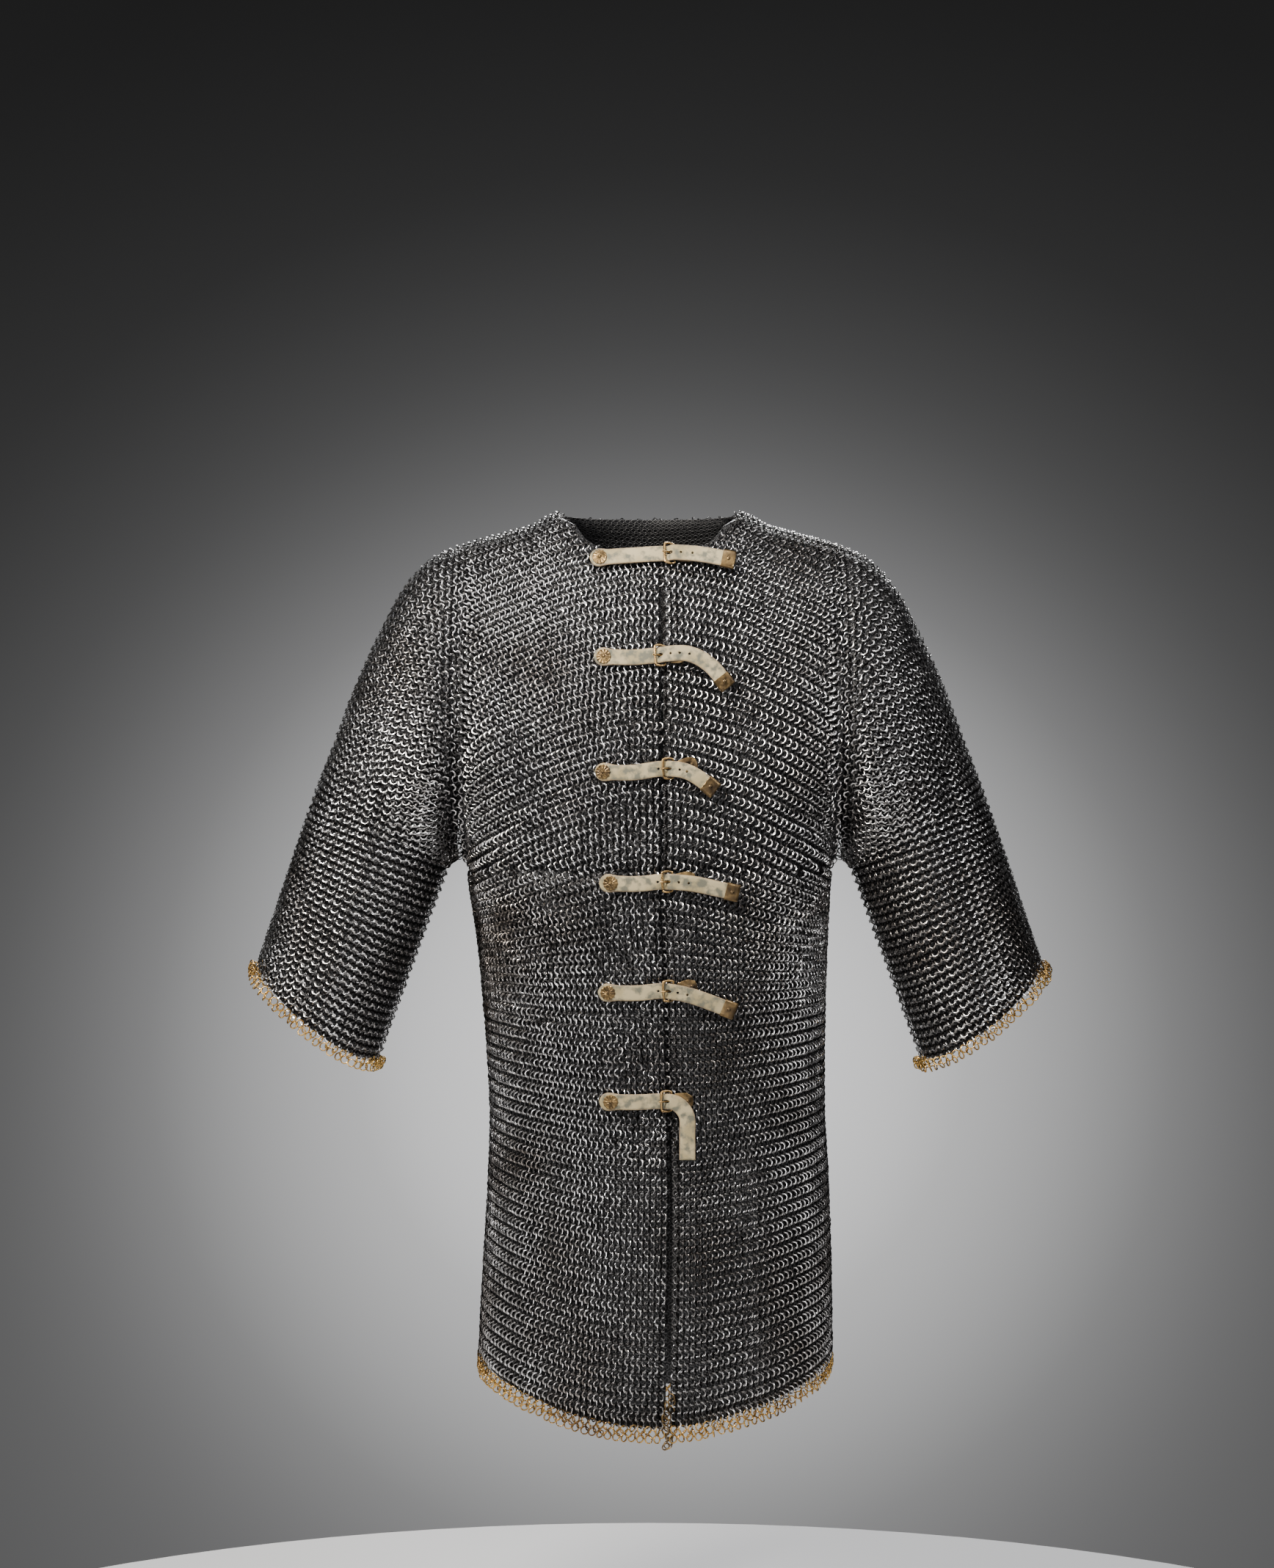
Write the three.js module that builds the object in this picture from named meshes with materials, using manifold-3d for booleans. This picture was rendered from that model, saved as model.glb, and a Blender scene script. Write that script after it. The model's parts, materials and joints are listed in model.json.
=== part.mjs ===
// A chainmail hauberk that opens down the front, closed by six leather straps and buckles.
// Millimetres, +Z up, the front faces -Y, and the wearer's right is -X. The origin lies between
// the shoulders, at the height where they carry the mail.

import * as THREE from 'three';
import Module from 'manifold-3d';
import { mergeVertices } from 'three/addons/utils/BufferGeometryUtils.js';

const wasm = await Module();
wasm.setup();

// ---- driving dimensions -------------------------------------------------------------------

const MAIL = 3;                 // two crossing layers of 1.3 mm ring wire
const BORDER = 2;               // brass rings that hang in a single layer
const SEAM = 0.3;               // clearance between neighbouring pieces
const HEM_BAND = 14;            // depth of the brass border at the hem
const CUFF_BAND = 9;            // depth of the brass border at each cuff

// Armpit: the torso's side there, its height, and the radius of the notch under the arm.
const ARMPIT = { x: 169, z: -316, notch: 8 };
const ARMHOLE_X = ARMPIT.x + ARMPIT.notch;

// Torso below the armpits: [drop below the armpit, half width, half depth, sideways shift].
const TORSO = [
  [0, 169, 116, 0], [78, 161, 112, 3], [214, 155, 104, 7],
  [284, 157.5, 105, 8], [364, 161, 109, 7], [514, 166, 113, 4],
];
const TORSO_ROUNDNESS = 2.4;    // exponent of the superelliptic plan
const PLAN = [160, 110];        // half width and depth at which shares of the plan are measured
const SOFT_EDGE = 30;           // folds fade out over this depth beside a side seam
const HEM = { side: -776, drop: 50, curve: 1.6 };

// Shoulder line over the torso, [distance from the middle, height]; the first is inside the neck.
const SHOULDER = [
  [0, 30], [80, 17], [96, 11], [108, 4], [125, -1], [160, -10.5], [ARMHOLE_X, -15.5],
];
const SHOULDER_SLOPE = -0.3;    // at the armhole
const CHEST_DEPTH = { middle: 118, armhole: 92 };
const FRONT_ROUNDNESS = 2.2;
const BACK_ROUNDNESS = { middle: 3.2, armhole: 2.4 };
const CHEST_RISE = { share: 0.45, middle: 2, armhole: 0.6, from: 140 };
const NECK = { halfWidth: 80, front: -24, back: 16, corner: 4 };

// Outer line of shoulder and upper arm: [degrees out from upright, distance from the armpit].
const UPPER_ARM = [
  [0, 300.5], [5, 290], [11, 267], [17, 238], [24, 212], [32, 189], [42, 169], [54, 156], [70, 150],
];
const SLEEVE_ANGLE = 70;        // degrees that the ribs have turned where the sleeve runs straight
const SLEEVE_DEPTH = 62;        // half depth of the straight sleeve
const SLEEVE_INNER = 197;       // straight length along the underarm
const SLEEVE_OUTER = 153;       // straight length along the outside
const SLEEVE_TAPER = 0.025;     // narrowing from the upper arm to the cuff
const CUFF_SAG = 13;            // the front and back of the cuff hang lower

// The front edges: where they meet, right of the middle, and how far they stand apart.
const OPENING = { x: 11, gap: 2, hemGap: 4.5, splitFrom: -520 };

// Largest folds: soft troughs from one point of the front view to another, with depth and width.
const FOLDS = [
  { faces: [-1, 1], from: [-172, -300], to: [-163, -135], depth: 10, width: 17 },
  { faces: [-1, 1], from: [172, -300], to: [163, -135], depth: 10, width: 17 },
  { faces: [-1, 1], from: [-168, -322], to: [-82, -352], depth: 4.5, width: 10 },
  { faces: [-1], from: [-166, -346], to: [-92, -402], depth: 4.5, width: 10 },
  { faces: [-1, 1], from: [168, -328], to: [104, -362], depth: 3.5, width: 10 },
  { faces: [-1, 1], from: [-98, -570], to: [-104, -840], depth: 5, width: 20 },
  { faces: [-1, 1], from: [74, -600], to: [86, -840], depth: 5, width: 20 },
  { faces: [1], from: [-6, -430], to: [0, -840], depth: 5, width: 22 },
  { faces: [-1, 1], from: [-262, -180], to: [-312, -440], depth: 4, width: 15 },
  { faces: [-1, 1], from: [262, -180], to: [312, -440], depth: 4, width: 15 },
];

// Closures: the strap's centre line as [x, z] points on the front, the far end last; the place of
// the buckle's outer bar; holes along x; and how far the free end lifts off the mail.
const STRAP = { width: 14, thickness: 2.2, root: 8.2 };
const ROSETTE = { radius: 6.5, height: 1.7, lobes: 12 };
const BUCKLE = { length: 9.5, width: 20.5, rod: 1.05 };
const PLATE = { length: 17, width: 14.5, thickness: 0.9, gap: 1.2 };
const CHAPE = { length: 11, wall: 0.6, clearance: 0.35 };
const HOLE_RADIUS = 1.1;
const SLOT = { from: 4.6, radius: 1.5, stretch: 1.9 };   // for the tongue, past the outer bar

// Heights over the mail: a strap's underside, and its climb over the buckle's hinge bar.
const REST = 0.6;
const CLIMB = { height: 2.7, from: 2.4, length: 4.6 };
const FREE_FROM = 14;           // past the bar, where the strap's free end starts to lift
const LEAF_REST = 0.45;
const CLOSURES = [
  { line: [[-54, -33.5], [-16, -31], [14, -29.5], [40, -31], [75, -38.5]],
    root: -45.5, bar: 13, plateTilt: 0, holes: [27.5, 38], lift: 5, chape: true },
  { line: [[-50, -123], [-16, -124], [5, -122.5], [34, -121.5], [52, -131], [69, -151]],
    root: -41.8, bar: 4, plateTilt: 0.1, holes: [18, 26, 35], lift: 4, chape: true },
  { line: [[-49, -226], [-16, -227], [12, -223.5], [32, -226], [46, -234], [57, -243]],
    root: -41.8, bar: 11.5, plateTilt: 0.35, holes: [7.5, 26, 32.5], lift: 3, chape: true },
  { line: [[-45, -325], [-12, -326], [12, -324], [36, -325.5], [58, -330], [77, -334.5]],
    root: -35.2, bar: 10.5, plateTilt: 0.2, holes: [6.5, 25, 34], lift: 2, chape: true },
  { line: [[-46, -423], [-12, -423.5], [14, -421.5], [34, -425], [54, -432], [74, -440]],
    root: -37.8, bar: 11.5, plateTilt: 0.3, holes: [7, 24.5, 33], lift: 2, chape: true },
  { line: [[-45, -521], [-12, -521.5], [10, -520.5], [23, -522], [32, -532], [33, -552],
    [33, -573]],
    root: -35.2, bar: 10, plateTilt: 0, holes: [], lift: 2.5, chape: false },
];

// ---- materials ----------------------------------------------------------------------------

const steel = new THREE.MeshStandardMaterial({ color: 0x8d8a90, roughness: 0.35, metalness: 0.9 });
const brass = new THREE.MeshStandardMaterial({ color: 0xb08d4a, roughness: 0.35, metalness: 0.9 });
const agedBrass = new THREE.MeshStandardMaterial({ color: 0x6e5a3a, roughness: 0.45, metalness: 0.8 });
const leather = new THREE.MeshStandardMaterial({ color: 0xcdbfa3, roughness: 0.75, metalness: 0 });

// ---- curves -------------------------------------------------------------------------------

const mix = THREE.MathUtils.lerp;
const clamp = THREE.MathUtils.clamp;
const ease = (t) => THREE.MathUtils.smoothstep(t, 0, 1);

// Smooth value at t through a table of [t, value, ...] rows, with given slopes at its two ends.
function through(table, t, column = 1, startSlope = null, endSlope = null) {
  const last = table.length - 1;
  const at = clamp(t, table[0][0], table[last][0]);
  let i = 0;
  while (i < last - 1 && at > table[i + 1][0]) i += 1;
  const slope = (k) => {
    if (k === 0 && startSlope !== null) return startSlope;
    if (k === last && endSlope !== null) return endSlope;
    const a = table[Math.max(k - 1, 0)];
    const b = table[Math.min(k + 1, last)];
    return (b[column] - a[column]) / (b[0] - a[0]);
  };
  const span = table[i + 1][0] - table[i][0];
  const w = (at - table[i][0]) / span;
  const w2 = w * w;
  const w3 = w2 * w;
  return (2 * w3 - 3 * w2 + 1) * table[i][column] + (w3 - 2 * w2 + w) * span * slope(i)
    + (3 * w2 - 2 * w3) * table[i + 1][column] + (w3 - w2) * span * slope(i + 1);
}

// Depth of all folds at a point of the front view, on the front (-1) or the back (1).
function foldDepth(face, x, z) {
  let depth = 0;
  for (const fold of FOLDS) {
    if (!fold.faces.includes(face)) continue;
    const dx = fold.to[0] - fold.from[0];
    const dz = fold.to[1] - fold.from[1];
    const length = Math.hypot(dx, dz);
    const along = ((x - fold.from[0]) * dx + (z - fold.from[1]) * dz) / length;
    const across = ((x - fold.from[0]) * dz - (z - fold.from[1]) * dx) / length;
    const beyond = Math.max(0, -along, along - length);
    const far = beyond / (1.5 * fold.width);
    depth += fold.depth * Math.exp(-((across / fold.width) ** 2) - far ** 2);
  }
  return depth;
}

// ---- the torso below the armpits ----------------------------------------------------------

// Plan angle at a fraction of the way, by length, from the middle of the front to the side.
const PLAN_STEPS = 240;
const PLAN_TABLE = [[0, 0]];
{
  const power = 2 / TORSO_ROUNDNESS;
  const point = (angle) => [PLAN[0] * Math.sin(angle) ** power, PLAN[1] * Math.cos(angle) ** power];
  let run = 0;
  let before = point(0);
  for (let i = 1; i <= PLAN_STEPS; i += 1) {
    const angle = (Math.PI / 2) * (i / PLAN_STEPS);
    const next = point(angle);
    run += Math.hypot(next[0] - before[0], next[1] - before[1]);
    PLAN_TABLE.push([run, angle]);
    before = next;
  }
}
const PLAN_LENGTH = PLAN_TABLE[PLAN_STEPS][0];

function planAngle(q) {
  const run = Math.abs(q) * PLAN_LENGTH;
  let i = 0;
  while (i < PLAN_STEPS - 1 && run > PLAN_TABLE[i + 1][0]) i += 1;
  const [a, b] = [PLAN_TABLE[i], PLAN_TABLE[i + 1]];
  return mix(a[1], b[1], clamp((run - a[0]) / (b[0] - a[0]), 0, 1));
}

function hemHeight(q) {
  return HEM.side - HEM.drop * Math.cos((Math.PI / 2) * clamp(q, -1, 1)) ** HEM.curve;
}

// q runs from -1 at the wearer's right side, through 0 at the middle, to 1 at the left side.
function torsoPoint(face, q, z) {
  const drop = ARMPIT.z - z;
  const angle = planAngle(q);
  const power = 2 / TORSO_ROUNDNESS;
  const x = through(TORSO, drop, 3, 0)
    + Math.sign(q) * through(TORSO, drop, 1) * Math.sin(angle) ** power;
  const depth = through(TORSO, drop, 2, 0) * Math.max(0, Math.cos(angle)) ** power;
  const fade = Math.min(1, depth / SOFT_EDGE);
  return new THREE.Vector3(x, face * (depth - fade * foldDepth(face, x, z)), z);
}

// ---- shoulders and sleeves: ribs that turn about the armpits ------------------------------

// A rib over the torso, in an upright plane at x; foot is its half depth where the torso begins.
function torsoRib(x) {
  const out = Math.abs(x);
  const beyond = clamp((out - ARMPIT.x) / ARMPIT.notch, 0, 1);
  const inside = Math.min(1, out / ARMPIT.x) ** TORSO_ROUNDNESS;
  return {
    foot: [x, ARMPIT.z + ARMPIT.notch * Math.sqrt(Math.max(0, 1 - (1 - beyond) ** 2))],
    tip: [x, through(SHOULDER, out, 1, null, SHOULDER_SLOPE)],
    footDepth: TORSO[0][2] * Math.max(0, 1 - inside) ** (1 / TORSO_ROUNDNESS),
    depth: mix(CHEST_DEPTH.middle, CHEST_DEPTH.armhole, (out / ARMHOLE_X) ** 2),
    pinch: mix(CHEST_RISE.middle, CHEST_RISE.armhole,
      ease((out - CHEST_RISE.from) / (ARMHOLE_X - CHEST_RISE.from))),
    back: mix(BACK_ROUNDNESS.middle, BACK_ROUNDNESS.armhole, out / ARMHOLE_X),
    tube: 0,
  };
}

// A rib of the shoulder or sleeve, turned by an angle in degrees about the armpit.
function armRib(side, angle) {
  const turn = THREE.MathUtils.degToRad(angle);
  const reach = through(UPPER_ARM, angle, 1, null, 0);
  const armhole = torsoRib(side * ARMHOLE_X);
  const at = (distance) => [
    side * (ARMHOLE_X + distance * Math.sin(turn)), ARMPIT.z + distance * Math.cos(turn)];
  return {
    ...armhole, foot: at(ARMPIT.notch), tip: at(reach), tube: ease(angle / SLEEVE_ANGLE),
  };
}

function ribDepth(rib, face, s) {
  const round = face < 0 ? FRONT_ROUNDNESS : rib.back;
  const top = Math.max(0, 1 - s ** round) ** (1 / round);
  const rise = Math.sin((Math.PI / 2) * Math.min(1, s / CHEST_RISE.share)) ** rib.pinch;
  const loop = top * (rib.footDepth + (rib.depth - rib.footDepth) * rise);
  const tube = 2 * SLEEVE_DEPTH * Math.sqrt(Math.max(0, s * (1 - s)));
  return mix(loop, tube, rib.tube);
}

function ribPoint(rib, face, s) {
  const x = mix(rib.foot[0], rib.tip[0], s);
  const z = mix(rib.foot[1], rib.tip[1], s);
  const depth = ribDepth(rib, face, s);
  const fade = Math.min(1, depth / SOFT_EDGE);
  return new THREE.Vector3(x, face * (depth - fade * foldDepth(face, x, z)), z);
}

// Points at equal steps of length along a rib, from its foot up to a share s of its height.
function ribLine(rib, face, count, end = 1) {
  const samples = [];
  const fine = 60;              // samples, closer together at both ends
  for (let i = 0; i <= fine; i += 1) {
    samples.push(ribPoint(rib, face, end * (1 - Math.cos((Math.PI * i) / fine)) / 2));
  }
  const run = [0];
  for (let i = 1; i <= fine; i += 1) run.push(run[i - 1] + samples[i].distanceTo(samples[i - 1]));
  const line = [];
  for (let j = 0; j <= count; j += 1) {
    const want = (run[fine] * j) / count;
    let i = 0;
    while (i < fine - 1 && want > run[i + 1]) i += 1;
    line.push(samples[i].clone().lerp(samples[i + 1], (want - run[i]) / (run[i + 1] - run[i])));
  }
  return line;
}

// Share of a torso rib's height at which the neckline cuts it.
function neckCut(x, face) {
  const out = Math.abs(x) / NECK.halfWidth;
  if (out >= 1) return 1;
  const rib = torsoRib(x);
  const edge = face < 0 ? mix(NECK.front, SHOULDER[1][1], out ** NECK.corner) : NECK.back;
  return (Math.min(edge, rib.tip[1]) - rib.foot[1]) / (rib.tip[1] - rib.foot[1]);
}

// Height field of the front of the torso, for what lies on it.
function frontDepth(x, z) {
  if (z >= ARMPIT.z) {
    const rib = torsoRib(x);
    const s = (z - rib.foot[1]) / (rib.tip[1] - rib.foot[1]);
    return -(ribDepth(rib, -1, clamp(s, 0, 1)) - foldDepth(-1, x, z));
  }
  const drop = ARMPIT.z - z;
  const out = Math.min(1, Math.abs(x - through(TORSO, drop, 3, 0)) / through(TORSO, drop, 1));
  const plan = (1 - out ** TORSO_ROUNDNESS) ** (1 / TORSO_ROUNDNESS);
  return -(through(TORSO, drop, 2, 0) * plan - foldDepth(-1, x, z));
}

// ---- cloth as a closed wall ---------------------------------------------------------------

// Collects patches of points, joins them where they touch, and thickens them inwards.
class Cloth {
  constructor(thickness) {
    this.thickness = thickness;
    this.points = [];
    this.flat = [];
    this.faces = [];
    this.index = new Map();
  }

  add(point, flat) {
    const key = point.toArray().map((value) => Math.round(value * 100)).join();
    if (!this.index.has(key)) {
      this.index.set(key, this.points.length);
      this.points.push(point);
      this.flat.push(flat);
    }
    return this.index.get(key);
  }

  // rows of points; inside gives a point behind the patch; flat names the axes that the seams at
  // a point are square to.
  patch(rows, inside, flat = () => '') {
    const ids = rows.map((row, i) => row.map((point, j) => this.add(point, flat(i, j))));
    const rings = [];
    let outwards = 0;
    for (let i = 0; i + 1 < rows.length; i += 1) {
      for (let j = 0; j + 1 < rows[i].length; j += 1) {
        const corners = [ids[i][j], ids[i][j + 1], ids[i + 1][j + 1], ids[i + 1][j]];
        const ring = corners.filter((id, k) => id !== corners[(k + 1) % 4]);
        if (ring.length < 3) continue;
        const [a, b, c] = ring.map((id) => this.points[id]);
        const normal = b.clone().sub(a).cross(c.clone().sub(a));
        const middle = a.clone().add(b).add(c).divideScalar(3);
        outwards += normal.dot(middle.clone().sub(inside(middle)));
        rings.push(ring);
      }
    }
    this.faces.push(...rings.map((ring) => (outwards < 0 ? ring.reverse() : ring)));
  }

  // Direction inside every seam's plane that a point lies in; flat names those planes' axes.
  static along(direction, flat) {
    for (const axis of flat) direction[axis] = 0;
    return direction.normalize();
  }

  geometry() {
    const triangles = [];
    for (const ring of this.faces) {
      for (let k = 1; k + 1 < ring.length; k += 1) triangles.push([ring[0], ring[k], ring[k + 1]]);
    }
    const normals = this.points.map(() => new THREE.Vector3());
    for (const [a, b, c] of triangles) {
      const [pa, pb, pc] = [a, b, c].map((id) => this.points[id]);
      const normal = pb.clone().sub(pa).cross(pc.clone().sub(pa));
      for (const id of [a, b, c]) normals[id].add(normal);
    }
    const count = this.points.length;
    const inner = this.points.map((point, id) => point.clone()
      .addScaledVector(Cloth.along(normals[id], this.flat[id]), -this.thickness));
    const edges = new Map();
    const solid = [];
    for (const [a, b, c] of triangles) {
      solid.push([a, b, c], [c + count, b + count, a + count]);
      for (const [from, to] of [[a, b], [b, c], [c, a]]) {
        if (!edges.delete(`${to},${from}`)) edges.set(`${from},${to}`, [from, to]);
      }
    }
    for (const [from, to] of edges.values()) {
      solid.push([to, from, from + count], [to, from + count, to + count]);
    }
    const geometry = new THREE.BufferGeometry();
    geometry.setAttribute('position', new THREE.Float32BufferAttribute(
      [...this.points, ...inner].flatMap((point) => point.toArray()), 3));
    geometry.setIndex(solid.flat());
    return geometry;
  }
}

// ---- group --------------------------------------------------------------------------------

const hauberk = new THREE.Group();

function addMesh(name, geometry, material) {
  const mesh = new THREE.Mesh(geometry, material);
  mesh.name = name;
  hauberk.add(mesh);
  return mesh;
}

// ---- fronts and back ----------------------------------------------------------------------

const UPPER_ROWS = 11;
const LOWER_ROWS = 10;
const INWARDS = 0.6;            // a point well inside the torso, beside one on its surface
const insideTorso = (point) => new THREE.Vector3(
  point.x * INWARDS, 0, Math.min(point.z, ARMPIT.z));
const steps = (count) => Array.from({ length: count + 1 }, (_, i) => i / count);

// Share of the front, by length from the middle, at which a front panel's edge lies.
function edgeShare(side, z) {
  const split = clamp((OPENING.splitFrom - z) / (OPENING.splitFrom - HEM.side + HEM.drop), 0, 1);
  const gap = mix(OPENING.gap, OPENING.hemGap, split);
  return (OPENING.x + (side * gap) / 2) / PLAN_LENGTH;
}

// Share of the way round at which a column stands under the corner of the neck.
const NECK_SHARE = (() => {
  const angle = Math.asin((NECK.halfWidth / ARMPIT.x) ** (TORSO_ROUNDNESS / 2));
  const row = PLAN_TABLE.findIndex(([, tabled]) => tabled >= angle);
  const [a, b] = [PLAN_TABLE[row - 1], PLAN_TABLE[row]];
  return mix(a[0], b[0], (angle - a[1]) / (b[1] - a[1])) / PLAN_LENGTH;
})();
// Columns lie closer together at the corners of the neck.
const SHARES = [
  0.1, 0.19, 0.26, NECK_SHARE - 0.025, NECK_SHARE, 0.43, 0.52, 0.62, 0.72, 0.82, 0.91, 1];

// Columns as functions that give q at a height, from the wearer's right to the left.
function columns(piece) {
  const left = SHARES.map((q) => () => q);
  const right = SHARES.map((q) => () => -q).reverse();
  if (piece === 'back') return [...right, () => 0, ...left];
  if (piece === 'right') return [...right, () => 0, (z) => edgeShare(-1, z)];
  return [(z) => edgeShare(1, z), ...left];
}

const seamed = (point, face) => {
  if (Math.abs(point.y) < SEAM / 2) point.setY((face * SEAM) / 2);
  return point;
};

function torsoPanel(name, piece) {
  const face = piece === 'back' ? 1 : -1;
  const cols = columns(piece);
  const cloth = new Cloth(MAIL);
  const seamAt = (point) => (Math.abs(point.y) <= SEAM ? 'y' : '');

  const lower = steps(LOWER_ROWS).map((f) => cols.map((q) => {
    const side = q(ARMPIT.z);
    const end = hemHeight(side) + HEM_BAND + SEAM / 2;
    const z = mix(ARMPIT.z, end, f);
    return seamed(torsoPoint(face, q(z), z), face);
  }));
  cloth.patch(lower, insideTorso,
    (i, j) => seamAt(lower[i][j]) + (i === LOWER_ROWS ? 'z' : ''));

  const ribXs = cols.map((q) => torsoPoint(face, q(ARMPIT.z), ARMPIT.z).x);
  const notch = [Math.PI / 4, (7 * Math.PI) / 18].map(
    (turn) => ARMPIT.x + ARMPIT.notch * (1 - Math.cos(turn)));
  notch.push(ARMHOLE_X - SEAM / 2);
  if (piece !== 'left') ribXs.unshift(...notch.map((x) => -x).reverse());
  if (piece !== 'right') ribXs.push(...notch);
  const ribs = ribXs.map((x) => {
    const rib = torsoRib(x);
    return ribLine(rib, face, UPPER_ROWS, neckCut(x, face)).map((p) => seamed(p, face));
  });
  const atArmhole = (k) => Math.abs(ribXs[k]) > ARMHOLE_X - SEAM;
  cloth.patch(ribs, insideTorso, (i, j) => seamAt(ribs[i][j]) + (atArmhole(i) ? 'x' : ''));
  addMesh(name, cloth.geometry(), steel);
}

torsoPanel('front_right', 'right');
torsoPanel('front_left', 'left');
torsoPanel('back', 'back');

function hemBorder(name, piece) {
  const face = piece === 'back' ? 1 : -1;
  const cloth = new Cloth(BORDER);
  const rows = [HEM_BAND - SEAM / 2, 0].map((above) => columns(piece).map((q) => {
    const z = hemHeight(q(ARMPIT.z)) + above;
    return seamed(torsoPoint(face, q(z), z), face);
  }));
  cloth.patch(rows, insideTorso, (i, j) => (Math.abs(rows[i][j].y) <= SEAM ? 'yz' : 'z'));
  addMesh(name, cloth.geometry(), brass);
}

hemBorder('hem_border_front_right', 'right');
hemBorder('hem_border_front_left', 'left');
hemBorder('hem_border_back', 'back');

// ---- sleeves ------------------------------------------------------------------------------

const SLEEVE_AROUND = 12;
const FAN_STEPS = 9;
const STRAIGHT_STEPS = 5;
const FAN_EASE = 1.25;          // ribs stand closer together where the shoulder starts to turn

// Loop of points round the arm: up the front of a rib and down its back.
function armLoop(rib) {
  const front = ribLine(rib, -1, SLEEVE_AROUND);
  const back = ribLine(rib, 1, SLEEVE_AROUND);
  return [...front, ...back.slice(0, -1).reverse()];
}

// Straight length of the sleeve for a point of its loop, measured from the last turned rib.
function sleeveLength(s, depth) {
  return mix(SLEEVE_INNER, SLEEVE_OUTER, s) + CUFF_SAG * (depth / SLEEVE_DEPTH);
}

function sleeveRows(side) {
  const turn = THREE.MathUtils.degToRad(SLEEVE_ANGLE);
  const axis = new THREE.Vector3(side * Math.cos(turn), 0, -Math.sin(turn));
  const lastRib = armRib(side, SLEEVE_ANGLE);
  const foot = new THREE.Vector3(lastRib.foot[0], 0, lastRib.foot[1]);
  const reach = new THREE.Vector3(lastRib.tip[0], 0, lastRib.tip[1]).sub(foot);
  const loop = armLoop(lastRib);
  const cuff = (share, inset) => loop.map((point) => {
    const s = clamp(point.clone().sub(foot).dot(reach) / reach.lengthSq(), 0, 1);
    const length = share * (sleeveLength(s, Math.abs(point.y)) - inset);
    const moved = point.clone().sub(foot).multiplyScalar(1 - SLEEVE_TAPER * share).add(foot);
    moved.setY(point.y).addScaledVector(axis, length);
    const fade = Math.min(1, Math.abs(point.y) / SOFT_EDGE);
    const face = Math.sign(point.y);
    const crease = foldDepth(face, moved.x, moved.z) - foldDepth(face, point.x, point.z);
    moved.y -= face * fade * crease;
    return moved;
  });
  return { loop, cuff };
}

function sleeve(name, side) {
  const cloth = new Cloth(MAIL);
  const fan = steps(FAN_STEPS).map((f) => armLoop(armRib(side, SLEEVE_ANGLE * f ** FAN_EASE)));
  for (const point of fan[0]) point.x += (side * SEAM) / 2;
  const { cuff } = sleeveRows(side);
  const straight = steps(STRAIGHT_STEPS).slice(1).map((f) => cuff(f, CUFF_BAND + SEAM / 2));
  const rows = [...fan, ...straight];
  const centres = rows.map((row) => {
    const middle = row[0].clone().add(row[SLEEVE_AROUND]).divideScalar(2);
    return middle.setY(0);
  });
  for (let i = 0; i + 1 < rows.length; i += 1) {
    const centre = centres[i].clone().add(centres[i + 1]).divideScalar(2);
    cloth.patch([rows[i], rows[i + 1]], () => centre, (r) => (i + r === 0 ? 'x' : ''));
  }
  addMesh(name, cloth.geometry(), steel);
}

function cuffBorder(name, side) {
  const cloth = new Cloth(BORDER);
  const { cuff } = sleeveRows(side);
  const rows = [cuff(1, CUFF_BAND - SEAM / 2), cuff(1, 0)];
  const centre = rows[0][0].clone().add(rows[1][SLEEVE_AROUND]).divideScalar(2).setY(0);
  cloth.patch(rows, () => centre);
  addMesh(name, cloth.geometry(), brass);
}

sleeve('sleeve_right', -1);
sleeve('sleeve_left', 1);
cuffBorder('cuff_border_right', -1);
cuffBorder('cuff_border_left', 1);

// ---- closures -----------------------------------------------------------------------------

const toSolid = (geometry) => {
  const bare = geometry.clone();
  bare.deleteAttribute('normal');
  bare.deleteAttribute('uv');
  const merged = mergeVertices(bare, 1e-4);
  return new wasm.Manifold(new wasm.Mesh({
    numProp: 3,
    vertProperties: new Float32Array(merged.attributes.position.array),
    triVerts: new Uint32Array(merged.index.array),
  }));
};

const fromSolid = (solid) => {
  const mesh = solid.getMesh();
  const geometry = new THREE.BufferGeometry();
  geometry.setAttribute('position', new THREE.Float32BufferAttribute(mesh.vertProperties, 3));
  geometry.setIndex(Array.from(mesh.triVerts));
  return geometry;
};

// Point at a height above the mail, square to the front's surface.
function onFront(x, z, height) {
  const d = 1;
  const slopeX = (frontDepth(x + d, z) - frontDepth(x - d, z)) / (2 * d);
  const slopeZ = (frontDepth(x, z + d) - frontDepth(x, z - d)) / (2 * d);
  const normal = new THREE.Vector3(slopeX, -1, slopeZ).normalize();
  return new THREE.Vector3(x, frontDepth(x, z), z).addScaledVector(normal, height);
}

// A closure with its strap running on level past the buckle, for the pieces fixed to the left front.
function levelled({ line, bar, lift }) {
  const [x, z] = line.find((point) => point[0] >= bar - 3);
  return { bar, lift, line: [line[0], line[1], [x, z], [x + 30, z], [x + 60, z]] };
}

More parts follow.
